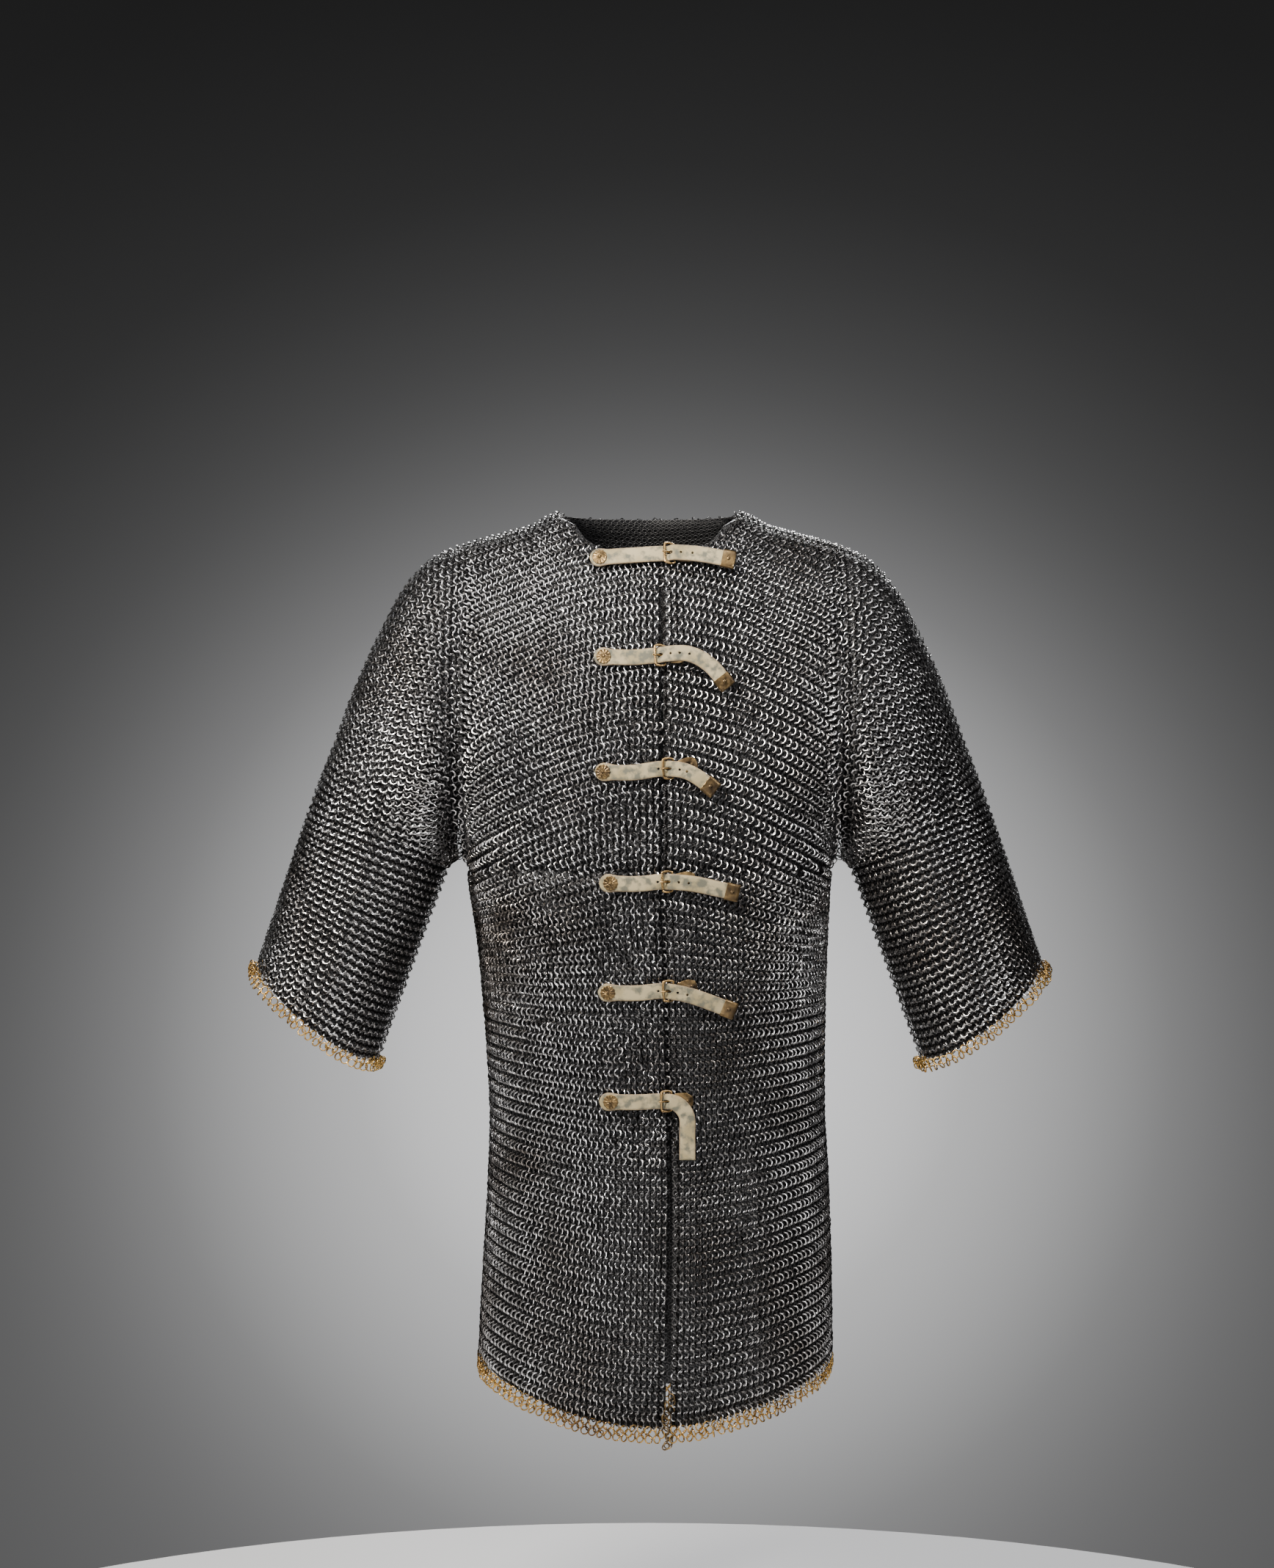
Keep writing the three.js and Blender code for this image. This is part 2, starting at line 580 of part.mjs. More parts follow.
// A closure's own space: distance along the strap, distance across it, and height over the mail.
class Lay {
  constructor({ line, bar, lift }) {
    this.curve = new THREE.CatmullRomCurve3(line.map(([x, z]) => new THREE.Vector3(x, 0, z)));
    this.length = this.curve.getLength();
    this.lift = lift;
    this.bar = this.alongAt(bar);
  }

  alongAt(x) {
    const fine = 400;
    for (let i = 0; i <= fine; i += 1) {
      if (this.curve.getPointAt(i / fine).x >= x) return (this.length * i) / fine;
    }
    return this.length;
  }

  // Height of the strap's underside: flat, over the buckle's hinge bar, then off the mail.
  under(along) {
    const past = along - this.bar;
    const overBar = CLIMB.height * ease((past - CLIMB.from) / CLIMB.length);
    const free = clamp((past - FREE_FROM) / (this.length - this.bar - FREE_FROM), 0, 1);
    return REST + overBar + (this.lift - 1.5) * ease(free);
  }

  place(along, across, height) {
    const clamped = clamp(along, 0, this.length);
    const centre = this.curve.getPointAt(clamped / this.length);
    const tangent = this.curve.getTangentAt(clamped / this.length);
    centre.addScaledVector(tangent, along - clamped);
    return onFront(centre.x - tangent.z * across, centre.z + tangent.x * across, height);
  }

  // Moves a geometry modelled flat (x along, y across, z height) onto the mail.
  drape(geometry, move = (point) => point) {
    const position = geometry.attributes.position;
    const point = new THREE.Vector3();
    for (let i = 0; i < position.count; i += 1) {
      move(point.fromBufferAttribute(position, i));
      const placed = this.place(point.x, point.y, point.z);
      position.setXYZ(i, placed.x, placed.y, placed.z);
    }
    geometry.deleteAttribute('normal');
    geometry.deleteAttribute('uv');
    return geometry;
  }
}

// Strap, flat: its root is a rounded, slightly wider end; grow thickens it for a clearance cut.
function strapGeometry(lay, from, to, grow = 0) {
  const count = Math.ceil((to - from) / 4);
  const box = new THREE.BoxGeometry(to - from, 1, 1, count, 1, 1);
  return lay.drape(box, (point) => {
    const along = point.x + (from + to) / 2;
    const rim = Math.max(0, STRAP.root ** 2 - (STRAP.root - along) ** 2);
    const rooted = along < STRAP.root ? Math.sqrt(rim) : STRAP.root;
    const narrowing = ease((along - STRAP.root) / 10);
    const half = Math.max(1.2, mix(rooted, STRAP.width / 2, narrowing)) + grow;
    const height = lay.under(along) + (point.z + 0.5) * STRAP.thickness + 2 * point.z * grow;
    point.set(along, 2 * half * point.y, height);
  });
}

function strap(lay, { holes, bar }) {
  let solid = toSolid(strapGeometry(lay, 0, lay.length));
  const punch = (along, radius, stretch) => {
    const pin = new THREE.CylinderGeometry(radius, radius, 14, 8);
    pin.rotateX(Math.PI / 2);
    pin.scale(stretch, 1, 1);
    pin.translate(along, 0, lay.under(along) + 1);
    solid = solid.subtract(toSolid(lay.drape(pin)));
  };
  for (const x of holes) punch(lay.alongAt(x), HOLE_RADIUS, 1);
  punch(lay.alongAt(bar) + SLOT.from, SLOT.radius, SLOT.stretch);
  return fromSolid(solid);
}

// Rivet head as a low fluted dome, standing on the strap.
function rosette(lay, x) {
  const along = lay.alongAt(x);
  const { radius, height, lobes } = ROSETTE;
  const profile = [[0, 0], [radius, 0], [radius, 0.5], [0.6 * radius, 0.9 * height],
    [0.3 * radius, 0.7 * height], [0, 1.1 * height]];
  const dome = new THREE.LatheGeometry(profile.map(([r, h]) => new THREE.Vector2(r, h)), 2 * lobes);
  dome.rotateX(Math.PI / 2);
  return lay.drape(dome, (point) => {
    const flute = 1 + 0.05 * Math.cos(lobes * Math.atan2(point.y, point.x));
    const base = lay.under(along) + STRAP.thickness + SEAM;
    point.set(along + point.x * flute, point.y * flute, base + point.z);
  });
}

// Buckle frame: a ring bent to a rectangle, its outer bar over the strap and its hinge bar under.
const BAR_HEIGHT = REST + STRAP.thickness + SEAM + BUCKLE.rod + 0.15;
const HINGE_HEIGHT = BUCKLE.rod + 0.4;

function buckleFrame(lay) {
  const { length, width, rod } = BUCKLE;
  const ring = new THREE.TorusGeometry(1, 0.1, 5, 20);
  return lay.drape(ring, (point) => {
    const angle = Math.atan2(point.y, point.x);
    const [c, s] = [Math.cos(angle), Math.sin(angle)];
    const square = Math.max(Math.abs(c), Math.abs(s)) ** 0.72;
    const offset = (Math.hypot(point.x, point.y) - 1) * 10 * rod;
    const along = (c / square) * (length / 2);
    const across = (s / square) * (width / 2 - rod);
    const height = mix(BAR_HEIGHT, HINGE_HEIGHT, ease(along / length + 0.5));
    point.set(lay.bar + length / 2 + along + offset * c, across + offset * s,
      height + point.z * 10 * rod);
  });
}

// Tongue: from the hinge bar, up through the strap and over the outer bar.
function tongue(lay) {
  const { length, rod } = BUCKLE;
  const hinge = lay.bar + length;
  const route = [
    [hinge - 2.1, HINGE_HEIGHT], [hinge - 4, 2], [hinge - 6, 4.2],
    [lay.bar + 0.8, BAR_HEIGHT + 2 * rod + 0.2], [lay.bar - 2.2, BAR_HEIGHT + 1.9 * rod],
  ].map(([along, height]) => new THREE.Vector3(along, 0, height));
  const section = new THREE.Shape().absarc(0, 0, 0.8, 0, 2 * Math.PI);
  const bar = new THREE.ExtrudeGeometry(section, {
    extrudePath: new THREE.CatmullRomCurve3(route), steps: 6, curveSegments: 3, bevelEnabled: false,
  });
  return lay.drape(bar);
}

// Buckle plate: a small brass leaf on the wearer's left front, behind the strap.
function plateSpot(lay, { plateTilt }, along, across) {
  const start = lay.bar + BUCKLE.length + BUCKLE.rod + PLATE.gap
    + (PLATE.width / 2) * Math.sin(plateTilt);
  return [start + along * Math.cos(plateTilt) - across * Math.sin(plateTilt),
    along * Math.sin(plateTilt) + across * Math.cos(plateTilt)];
}

function plate(lay, closure) {
  const { length, width, thickness } = PLATE;
  const leaf = new THREE.BoxGeometry(length, width, thickness, 4, 3, 1);
  return lay.drape(leaf, (point) => {
    const end = ease((point.x / length + 0.5 - 0.6) / 0.4);
    const [along, across] = plateSpot(lay, closure, point.x + length / 2,
      point.y * (1 - 0.35 * end));
    point.set(along, across, LEAF_REST + thickness / 2 + point.z);
  });
}

function chape(lay) {
  const from = lay.length - CHAPE.length;
  const to = lay.length + CHAPE.wall + CHAPE.clearance;
  const outer = toSolid(strapGeometry(lay, from, to, CHAPE.clearance + CHAPE.wall));
  const inner = lay.length + CHAPE.clearance;
  const pocket = toSolid(strapGeometry(lay, from - 2, inner, CHAPE.clearance));
  return fromSolid(outer.subtract(pocket));
}

CLOSURES.forEach((closure, i) => {
  const lay = new Lay(closure);
  const fixed = new Lay(levelled(closure));
  const number = i + 1;
  addMesh(`strap_${number}`, strap(lay, closure), leather);
  addMesh(`rosette_${number}`, rosette(lay, closure.root), brass);
  addMesh(`buckle_${number}`, buckleFrame(fixed), brass);
  addMesh(`tongue_${number}`, tongue(fixed), brass);
  addMesh(`plate_${number}`, plate(fixed, closure), agedBrass);
  if (closure.chape) addMesh(`chape_${number}`, chape(lay), brass);
});

export default hauberk;
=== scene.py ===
# %% [markdown]
# # A chainmail hauberk in Blender
# This lesson dresses a finished CAD frame of a mail shirt: thousands of steel rings that overlap
# as linked ones do, a border of brass rings at hem and cuffs, and six leather straps with brass
# buckles. The frame holds the true sizes, so the first step loads it. Shapes are worked out in
# millimetres, like the frame's own dimensions, and become metres only when a mesh is made.

# %% Load the frame
import json
import math

import bpy
import numpy as np
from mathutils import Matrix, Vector

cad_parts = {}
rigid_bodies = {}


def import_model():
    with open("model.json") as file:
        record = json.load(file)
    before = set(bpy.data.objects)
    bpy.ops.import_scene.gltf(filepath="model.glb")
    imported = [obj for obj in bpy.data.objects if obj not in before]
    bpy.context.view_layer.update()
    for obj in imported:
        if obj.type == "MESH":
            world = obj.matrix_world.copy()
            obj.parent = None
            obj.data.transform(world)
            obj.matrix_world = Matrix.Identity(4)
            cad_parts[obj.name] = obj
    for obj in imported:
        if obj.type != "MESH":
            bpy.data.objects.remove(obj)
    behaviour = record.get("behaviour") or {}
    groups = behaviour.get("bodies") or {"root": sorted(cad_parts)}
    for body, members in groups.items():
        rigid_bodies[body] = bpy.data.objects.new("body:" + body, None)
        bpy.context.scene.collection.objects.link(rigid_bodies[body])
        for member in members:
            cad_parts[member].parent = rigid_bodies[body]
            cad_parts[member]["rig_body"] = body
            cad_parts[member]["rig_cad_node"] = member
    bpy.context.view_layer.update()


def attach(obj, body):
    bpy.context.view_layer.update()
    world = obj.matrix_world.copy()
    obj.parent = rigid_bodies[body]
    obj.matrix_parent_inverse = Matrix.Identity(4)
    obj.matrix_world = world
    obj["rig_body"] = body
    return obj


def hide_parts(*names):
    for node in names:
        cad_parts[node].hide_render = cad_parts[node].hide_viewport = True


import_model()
MM = 0.001

# %% [markdown]
# ## Camera
# The shirt is seen square on, from three metres, at the height of the lower chest. A level camera
# keeps the sides of the shirt upright, and a long lens keeps the nearer sleeve from swelling. The
# lens is worked out from the height that the picture has to take in, so that another picture
# height would only need one number changed.

# %% Camera
VIEW_HEIGHT = 1453.0      # height of the shirt's middle plane that fills the picture
DISTANCE = 3000.0
SENSOR = 36.0

camera_data = bpy.data.cameras.new("camera")
camera_data.sensor_width = SENSOR
camera_data.lens = SENSOR * DISTANCE / VIEW_HEIGHT
camera = bpy.data.objects.new("camera", camera_data)
camera.location = (-11.6 * MM, -DISTANCE * MM, -237 * MM)
camera.rotation_euler = (math.radians(90), 0, 0)
bpy.context.scene.collection.objects.link(camera)
bpy.context.scene.camera = camera
print("lens in mm:", round(camera_data.lens, 1))

# %% [markdown]
# ## Floor and light
# Polished rings show little colour of their own: they show the room. A small warm box stands in
# front of the wearer's right shoulder and above it, near enough that the chest is brightest and
# the skirt fades. Boxes at both sides light the rings that lean left and right in turn, one above
# picks out the shoulders, one behind lights the back, and one near the floor lifts the hem. The
# room is dark, which keeps the gaps between the rings black, but for a round glow behind the
# skirt. A pale floor well below the hem closes the set for a camera that walks round.

# %% Floor, surround and lights
FLOOR_HEIGHT = -1150.0
CHEST = (0, 0, -0.3)
FLOOR_RADIUS = 1.0
GLOW_AXIS = (0.007, 0.997, -0.08)
GLOW_EDGE = 0.94          # cosine of the angle at which the glow has faded
ROOM_BOTTOM, ROOM_TOP = -0.3, 0.35
RAMP_ENDS = {0.0: 0, 1.0: -1}      # stops that a new ramp already has
GLOW_TONES = [(0.0, 0.0), (0.4, 0.008), (0.62, 0.035), (0.8, 0.12), (0.93, 0.5), (1.0, 1.0)]
ROOM_TONES = [(0.0, 0.12), (0.5, 0.028), (1.0, 0.006)]


def studio_floor():
    bpy.ops.mesh.primitive_circle_add(
        vertices=96, radius=FLOOR_RADIUS, fill_type="NGON", location=(0, 0, FLOOR_HEIGHT * MM))
    floor = bpy.context.object
    floor.name = "studio_floor"
    paper = bpy.data.materials.new("floor_paper")
    paper.use_nodes = True
    shader = paper.node_tree.nodes["Principled BSDF"]
    shader.inputs["Base Color"].default_value = (0.62, 0.62, 0.63, 1)
    shader.inputs["Roughness"].default_value = 0.8
    floor.data.materials.append(paper)


def surround():
    """A dark room with a round glow behind the skirt, and a little light near the floor."""
    world = bpy.data.worlds.new("surround")
    bpy.context.scene.world = world
    world.use_nodes = True
    nodes, links = world.node_tree.nodes, world.node_tree.links
    direction = nodes.new("ShaderNodeTexCoord").outputs["Generated"]
    split = nodes.new("ShaderNodeSeparateXYZ")
    links.new(direction, split.inputs[0])
    toward = nodes.new("ShaderNodeVectorMath")
    toward.operation = "DOT_PRODUCT"
    toward.inputs[1].default_value = GLOW_AXIS
    links.new(direction, toward.inputs[0])
    tones = []
    for source, low, high, stops in (
            (toward.outputs["Value"], GLOW_EDGE, 1.0, GLOW_TONES),
            (split.outputs["Z"], ROOM_BOTTOM, ROOM_TOP, ROOM_TONES)):
        ranged = nodes.new("ShaderNodeMapRange")
        ranged.inputs["From Min"].default_value = low
        ranged.inputs["From Max"].default_value = high
        links.new(source, ranged.inputs["Value"])
        ramp = nodes.new("ShaderNodeValToRGB")
        ramp.color_ramp.interpolation = "B_SPLINE"
        for place, tone in stops:
            elements = ramp.color_ramp.elements
            stop = elements[RAMP_ENDS[place]] if place in RAMP_ENDS else elements.new(place)
            stop.color = (tone, tone, tone * 1.01, 1)
        links.new(ranged.outputs[0], ramp.inputs[0])
        tones.append(ramp.outputs[0])
    total = nodes.new("ShaderNodeVectorMath")
    total.operation = "ADD"
    links.new(tones[0], total.inputs[0])
    links.new(tones[1], total.inputs[1])
    links.new(total.outputs[0], nodes["Background"].inputs["Color"])


def soft_box(name, place, size, watts, tint=(1, 1, 1)):
    light = bpy.data.lights.new(name, "AREA")
    light.color = tint
    light.shape = "RECTANGLE"
    light.size, light.size_y = size
    light.energy = watts
    lamp = bpy.data.objects.new(name, light)
    lamp.location = place
    lamp.rotation_euler = (Vector(CHEST) - Vector(place)).to_track_quat("-Z", "Y").to_euler()
    bpy.context.scene.collection.objects.link(lamp)


studio_floor()
surround()
soft_box("box_key", (-0.75, -1.1, 0.75), (0.3, 0.35), 66, (1.0, 0.95, 0.86))
soft_box("box_left", (-2.4, -0.5, 0.2), (0.5, 1.4), 34)
soft_box("box_right", (1.5, -1.3, 0.9), (0.4, 0.5), 26)
soft_box("box_above", (0.3, -0.5, 1.8), (1.0, 0.6), 26)
soft_box("box_behind", (0.3, 2.6, 1.2), (1.2, 1.0), 80)
soft_box("box_low", (0.4, -2.6, -0.9), (0.8, 0.5), 22)

# %% [markdown]
# ## The hang of the shirt
# Mail falls close to the body below the chest and in wide folds under the arms. The same few
# dimensions that built the frame describe it: half widths and depths of the torso at six heights,
# a shoulder line, and the outer line of the upper arm. A smooth curve through a short table keeps
# the form soft. Creases are soft troughs from one point to another: the frame holds the largest,
# and the finer ones, down the chest and where the mail bunches at armpits, waist and elbows, are
# added here.

# %% Dimensions of the shirt
ARMPIT_X, ARMPIT_Z, NOTCH = 169.0, -316.0, 8.0
ARMHOLE_X = ARMPIT_X + NOTCH
TORSO = np.array([        # drop below the armpit, half width, half depth, sideways shift
    [0, 169, 116, 0], [78, 161, 112, 3], [214, 155, 104, 7],
    [284, 157.5, 105, 8], [364, 161, 109, 7], [514, 166, 113, 4]])
PLAN_ROUNDNESS = 2.4
HEM_SIDE, HEM_DROP, HEM_CURVE = -776.0, 50.0, 1.6
HEM_BAND, CUFF_BAND = 14.0, 9.0
SHOULDER = np.array([     # distance from the middle, height
    [0, 30], [80, 17], [96, 11], [108, 4], [125, -1], [160, -10.5], [ARMHOLE_X, -15.5]])
SHOULDER_SLOPE = -0.3
UPPER_ARM = np.array([    # degrees out from upright, distance from the armpit
    [0, 300.5], [5, 290], [11, 267], [17, 238], [24, 212], [32, 189], [42, 169], [54, 156],
    [70, 150]])
SLEEVE_ANGLE, SLEEVE_DEPTH, SLEEVE_TAPER = 70.0, 62.0, 0.025
SLEEVE_INNER, SLEEVE_OUTER, CUFF_SAG = 197.0, 153.0, 13.0
CHEST_DEPTH = (118.0, 92.0)        # at the middle and at the armhole
FRONT_ROUNDNESS, BACK_ROUNDNESS = 2.2, (3.2, 2.4)
RISE, PINCH = 0.45, (2.0, 0.6)
SOFT_EDGE = 30.0          # a crease fades out over this depth beside a side seam
NECK_HALF_WIDTH, NECK_FRONT, NECK_BACK, NECK_CORNER = 80.0, -24.0, 16.0, 4
NECK_POINT = SHOULDER[1][1]
OPENING_X, OPENING_GAP, OPENING_HEM_GAP, SPLIT_FROM = 11.0, 2.0, 4.5, -520.0
FRONT, BACK = -1, 1
print("torso at the armpits in mm:", 2 * ARMPIT_X, "wide and", 2 * TORSO[0][2], "deep")

# %% Creases
BOTH, ON_FRONT, ON_BACK = (FRONT, BACK), (FRONT,), (BACK,)
FOLDS = [                 # faces, from, to, depth, width; points are x and height
    (BOTH, (-172, -300), (-163, -135), 10, 17), (BOTH, (172, -300), (163, -135), 10, 17),
    (BOTH, (-168, -322), (-82, -352), 4.5, 10), (ON_FRONT, (-166, -346), (-92, -402), 4.5, 10),
    (BOTH, (168, -328), (104, -362), 3.5, 10), (BOTH, (-98, -570), (-104, -840), 5, 20),
    (BOTH, (74, -600), (86, -840), 5, 20), (ON_BACK, (-6, -430), (0, -840), 5, 22),
    (BOTH, (-262, -180), (-312, -440), 4, 15), (BOTH, (262, -180), (312, -440), 4, 15)]
CREASES = [
    (BOTH, (-160, -300), (-120, -262), 3, 8), (BOTH, (160, -300), (128, -266), 2.5, 8),
    (BOTH, (-162, -372), (-118, -430), 3, 8), (BOTH, (162, -352), (122, -404), 2.5, 8),
    (ON_FRONT, (-150, -420), (-96, -452), 2, 7), (BOTH, (158, -402), (118, -446), 2, 8),
    (BOTH, (-196, -330), (-236, -300), 3, 8), (BOTH, (196, -330), (236, -300), 3, 8),
    (BOTH, (-214, -388), (-262, -352), 2.5, 8), (BOTH, (214, -388), (262, -352), 2.5, 8),
    (BOTH, (-140, -600), (-132, -800), 3, 12), (BOTH, (128, -560), (136, -780), 3, 12),
    (BOTH, (-70, -640), (-62, -830), 2.5, 12), (ON_BACK, (46, -420), (54, -800), 3, 14),
    (ON_BACK, (-60, -60), (-70, -300), 3, 18), (ON_BACK, (60, -60), (70, -300), 3, 18),
    (ON_FRONT, (-118, -150), (-88, -250), 7, 22), (ON_FRONT, (62, -140), (78, -210), 5, 18),
    (ON_FRONT, (-92, -300), (-74, -440), 4, 20), (ON_FRONT, (70, -290), (62, -420), 3, 18),
    (ON_BACK, (-120, -470), (110, -486), 3, 12), (ON_BACK, (-90, -520), (130, -506), 2.5, 12)]


def through(table, t, column, start_slope=None, end_slope=None):
    """Smooth value at t through a table's rows, with given slopes at its two ends."""
    keys, values = table[:, 0], table[:, column]
    slopes = np.empty(len(keys))
    slopes[1:-1] = (values[2:] - values[:-2]) / (keys[2:] - keys[:-2])
    slopes[0] = (values[1] - values[0]) / (keys[1] - keys[0])
    slopes[-1] = (values[-1] - values[-2]) / (keys[-1] - keys[-2])
    if start_slope is not None:
        slopes[0] = start_slope
    if end_slope is not None:
        slopes[-1] = end_slope
    t = np.clip(t, keys[0], keys[-1])
    i = np.clip(np.searchsorted(keys, t) - 1, 0, len(keys) - 2)
    span = keys[i + 1] - keys[i]
    w = (t - keys[i]) / span
    return ((2 * w**3 - 3 * w**2 + 1) * values[i] + (w**3 - 2 * w**2 + w) * span * slopes[i]
            + (3 * w**2 - 2 * w**3) * values[i + 1] + (w**3 - w**2) * span * slopes[i + 1])


def ease(t):
    t = np.clip(t, 0, 1)
    return t * t * (3 - 2 * t)


def lengths(line):
    """Distance run from a line's first point to each of its points."""
    return np.concatenate([[0], np.cumsum(np.linalg.norm(np.diff(line, axis=0), axis=1))])


def at_lengths(want, run, line):
    """Points of a line at wanted distances along it."""
    return np.stack([np.interp(want, run, line[:, k]) for k in range(line.shape[1])], axis=-1)


def fold_depth(face, x, z, folds=tuple(FOLDS + CREASES)):
    """Depth of all creases at a place of the front view, on the front or the back."""
    depth = np.zeros(np.broadcast(x, z).shape)
    for faces, start, end, deep, wide in folds:
        if face not in faces:
            continue
        dx, dz = end[0] - start[0], end[1] - start[1]
        length = math.hypot(dx, dz)
        along = ((x - start[0]) * dx + (z - start[1]) * dz) / length
        across = ((x - start[0]) * dz - (z - start[1]) * dx) / length
        beyond = np.maximum(0, np.maximum(-along, along - length))
        depth += deep * np.exp(-((across / wide) ** 2) - (beyond / (1.5 * wide)) ** 2)
    return depth


print("folds:", len(FOLDS), "and finer creases:", len(CREASES))

# %% [markdown]
# ## The torso tube
# Below the armpits the shirt is one tube. Its plan is a superellipse, rounder at the corners than
# an ellipse, and a place on it is a share of the way from the middle of the front to the side, so
# that a column of rings runs straight down while the waist narrows.

# %% Torso surface
plan_angles = np.linspace(0, math.pi / 2, 241)
plan_x = 160 * np.sin(plan_angles) ** (2 / PLAN_ROUNDNESS)
plan_y = 110 * np.cos(plan_angles) ** (2 / PLAN_ROUNDNESS)
plan_run = np.concatenate([[0], np.cumsum(np.hypot(np.diff(plan_x), np.diff(plan_y)))])
PLAN_LENGTH = plan_run[-1]


def hem_height(q):
    return HEM_SIDE - HEM_DROP * np.cos(math.pi / 2 * np.clip(q, -1, 1)) ** HEM_CURVE


def torso_point(face, q, z):
    """q runs from -1 at the wearer's right side, through 0 at the middle, to 1 at the left."""
    drop = ARMPIT_Z - z
    angle = np.interp(np.abs(q) * PLAN_LENGTH, plan_run, plan_angles)
    out = through(TORSO, drop, 1) * np.sin(angle) ** (2 / PLAN_ROUNDNESS)
    x = through(TORSO, drop, 3, 0) + np.sign(q) * out
    cosine = np.maximum(0, np.cos(angle))
    depth = through(TORSO, drop, 2, 0) * cosine ** (2 / PLAN_ROUNDNESS)
    fade = np.minimum(1, depth / SOFT_EDGE)
    y = face * (depth - fade * fold_depth(face, x, z))
    return np.stack(np.broadcast_arrays(x, y, z), axis=-1).astype(float)


def edge_share(side, z):
    """Share at which a front ends at the opening, which widens below the last buckle."""
    split = np.clip((SPLIT_FROM - z) / (SPLIT_FROM - HEM_SIDE + HEM_DROP), 0, 1)
    gap = OPENING_GAP + (OPENING_HEM_GAP - OPENING_GAP) * split
    return (OPENING_X + side * gap / 2) / PLAN_LENGTH


print("half way round the torso in mm:", round(2 * PLAN_LENGTH))

# %% [markdown]
# ## Shoulders and sleeves
# Mail shirts are knitted in the shape of a T, so the rows of the chest run on into the sleeves.
# The cloth is drawn on ribs, as a boat's hull is: upright ribs over the torso, then ribs that
# swing about the armpit as the shoulder turns down, then level steps along the sleeve. Every rib
# becomes points at equal steps of length, so a row of rings is simply one share of every rib.

# %% Ribs
RIB_STEPS = 64


def torso_rib(x):
    out = abs(x)
    beyond = min(max((out - ARMPIT_X) / NOTCH, 0), 1)
    inside = min(1, out / ARMPIT_X) ** PLAN_ROUNDNESS
    share = out / ARMHOLE_X
    return {
        "foot": (x, ARMPIT_Z + NOTCH * math.sqrt(max(0, 1 - (1 - beyond) ** 2))),
        "tip": (x, float(through(SHOULDER, out, 1, None, SHOULDER_SLOPE))),
        "foot_depth": TORSO[0][2] * max(0, 1 - inside) ** (1 / PLAN_ROUNDNESS),
        "depth": CHEST_DEPTH[0] + (CHEST_DEPTH[1] - CHEST_DEPTH[0]) * share**2,
        "pinch": PINCH[0] + (PINCH[1] - PINCH[0]) * float(ease((out - 140) / (ARMHOLE_X - 140))),
        "back": BACK_ROUNDNESS[0] + (BACK_ROUNDNESS[1] - BACK_ROUNDNESS[0]) * share,
        "tube": 0.0}


def arm_rib(side, angle):
    """A rib of the shoulder or sleeve, turned by an angle in degrees about the armpit."""
    turn = math.radians(angle)
    rib = torso_rib(side * ARMHOLE_X)
    for key, reach in (("foot", NOTCH), ("tip", float(through(UPPER_ARM, angle, 1, None, 0)))):
        rib[key] = (side * (ARMHOLE_X + reach * math.sin(turn)), ARMPIT_Z + reach * math.cos(turn))
    rib["tube"] = float(ease(angle / SLEEVE_ANGLE))
    return rib


def rib_depth(rib, face, s):
    roundness = FRONT_ROUNDNESS if face == FRONT else rib["back"]
    top = np.maximum(0, 1 - s**roundness) ** (1 / roundness)
    rise = np.sin(math.pi / 2 * np.minimum(1, s / RISE)) ** rib["pinch"]
    loop = top * (rib["foot_depth"] + (rib["depth"] - rib["foot_depth"]) * rise)
    tube = 2 * SLEEVE_DEPTH * np.sqrt(np.maximum(0, s * (1 - s)))
    return loop + (tube - loop) * rib["tube"]


def rib_line(rib, face, end=1.0):
    """Points at equal steps of length, from a rib's foot to a share of its height."""
    s = end * (1 - np.cos(np.linspace(0, math.pi, 121))) / 2
    x = rib["foot"][0] + s * (rib["tip"][0] - rib["foot"][0])
    z = rib["foot"][1] + s * (rib["tip"][1] - rib["foot"][1])
    depth = rib_depth(rib, face, s)
    fade = np.minimum(1, depth / SOFT_EDGE)
    points = np.stack([x, face * (depth - fade * fold_depth(face, x, z)), z], axis=-1)
    run = lengths(points)
    return at_lengths(np.linspace(0, run[-1], RIB_STEPS + 1), run, points)


def neck_edge(x, face):
    """Height of the neckline at x."""
    out = np.minimum(1, np.abs(x) / NECK_HALF_WIDTH)
    front = NECK_FRONT + (NECK_POINT - NECK_FRONT) * out**NECK_CORNER
    return front if face == FRONT else NECK_BACK + 0 * out


def neck_cut(x, face):
    """Share of a torso rib's height at which the neckline cuts it."""
    rib = torso_rib(x)
    foot, tip = rib["foot"][1], rib["tip"][1]
    if abs(x) >= NECK_HALF_WIDTH:
        return 1.0
    return (min(float(neck_edge(x, face)), tip) - foot) / (tip - foot)


print("rib length over the middle of the chest in mm:",
      round(float(lengths(rib_line(torso_rib(0), FRONT))[-1])))

# %% Strips of ribs: torso, shoulder and sleeve
def torso_strip(side, face, count=45):
    """Whole ribs from the middle to the armhole, with the neck uncut."""
    xs = side * np.linspace(0, ARMHOLE_X, count)
    return np.array([rib_line(torso_rib(x), face) for x in xs])


def shoulder_strip(side, face, count=37):
    angles = np.linspace(0, SLEEVE_ANGLE, count)
    return np.array([rib_line(arm_rib(side, angle), face) for angle in angles])


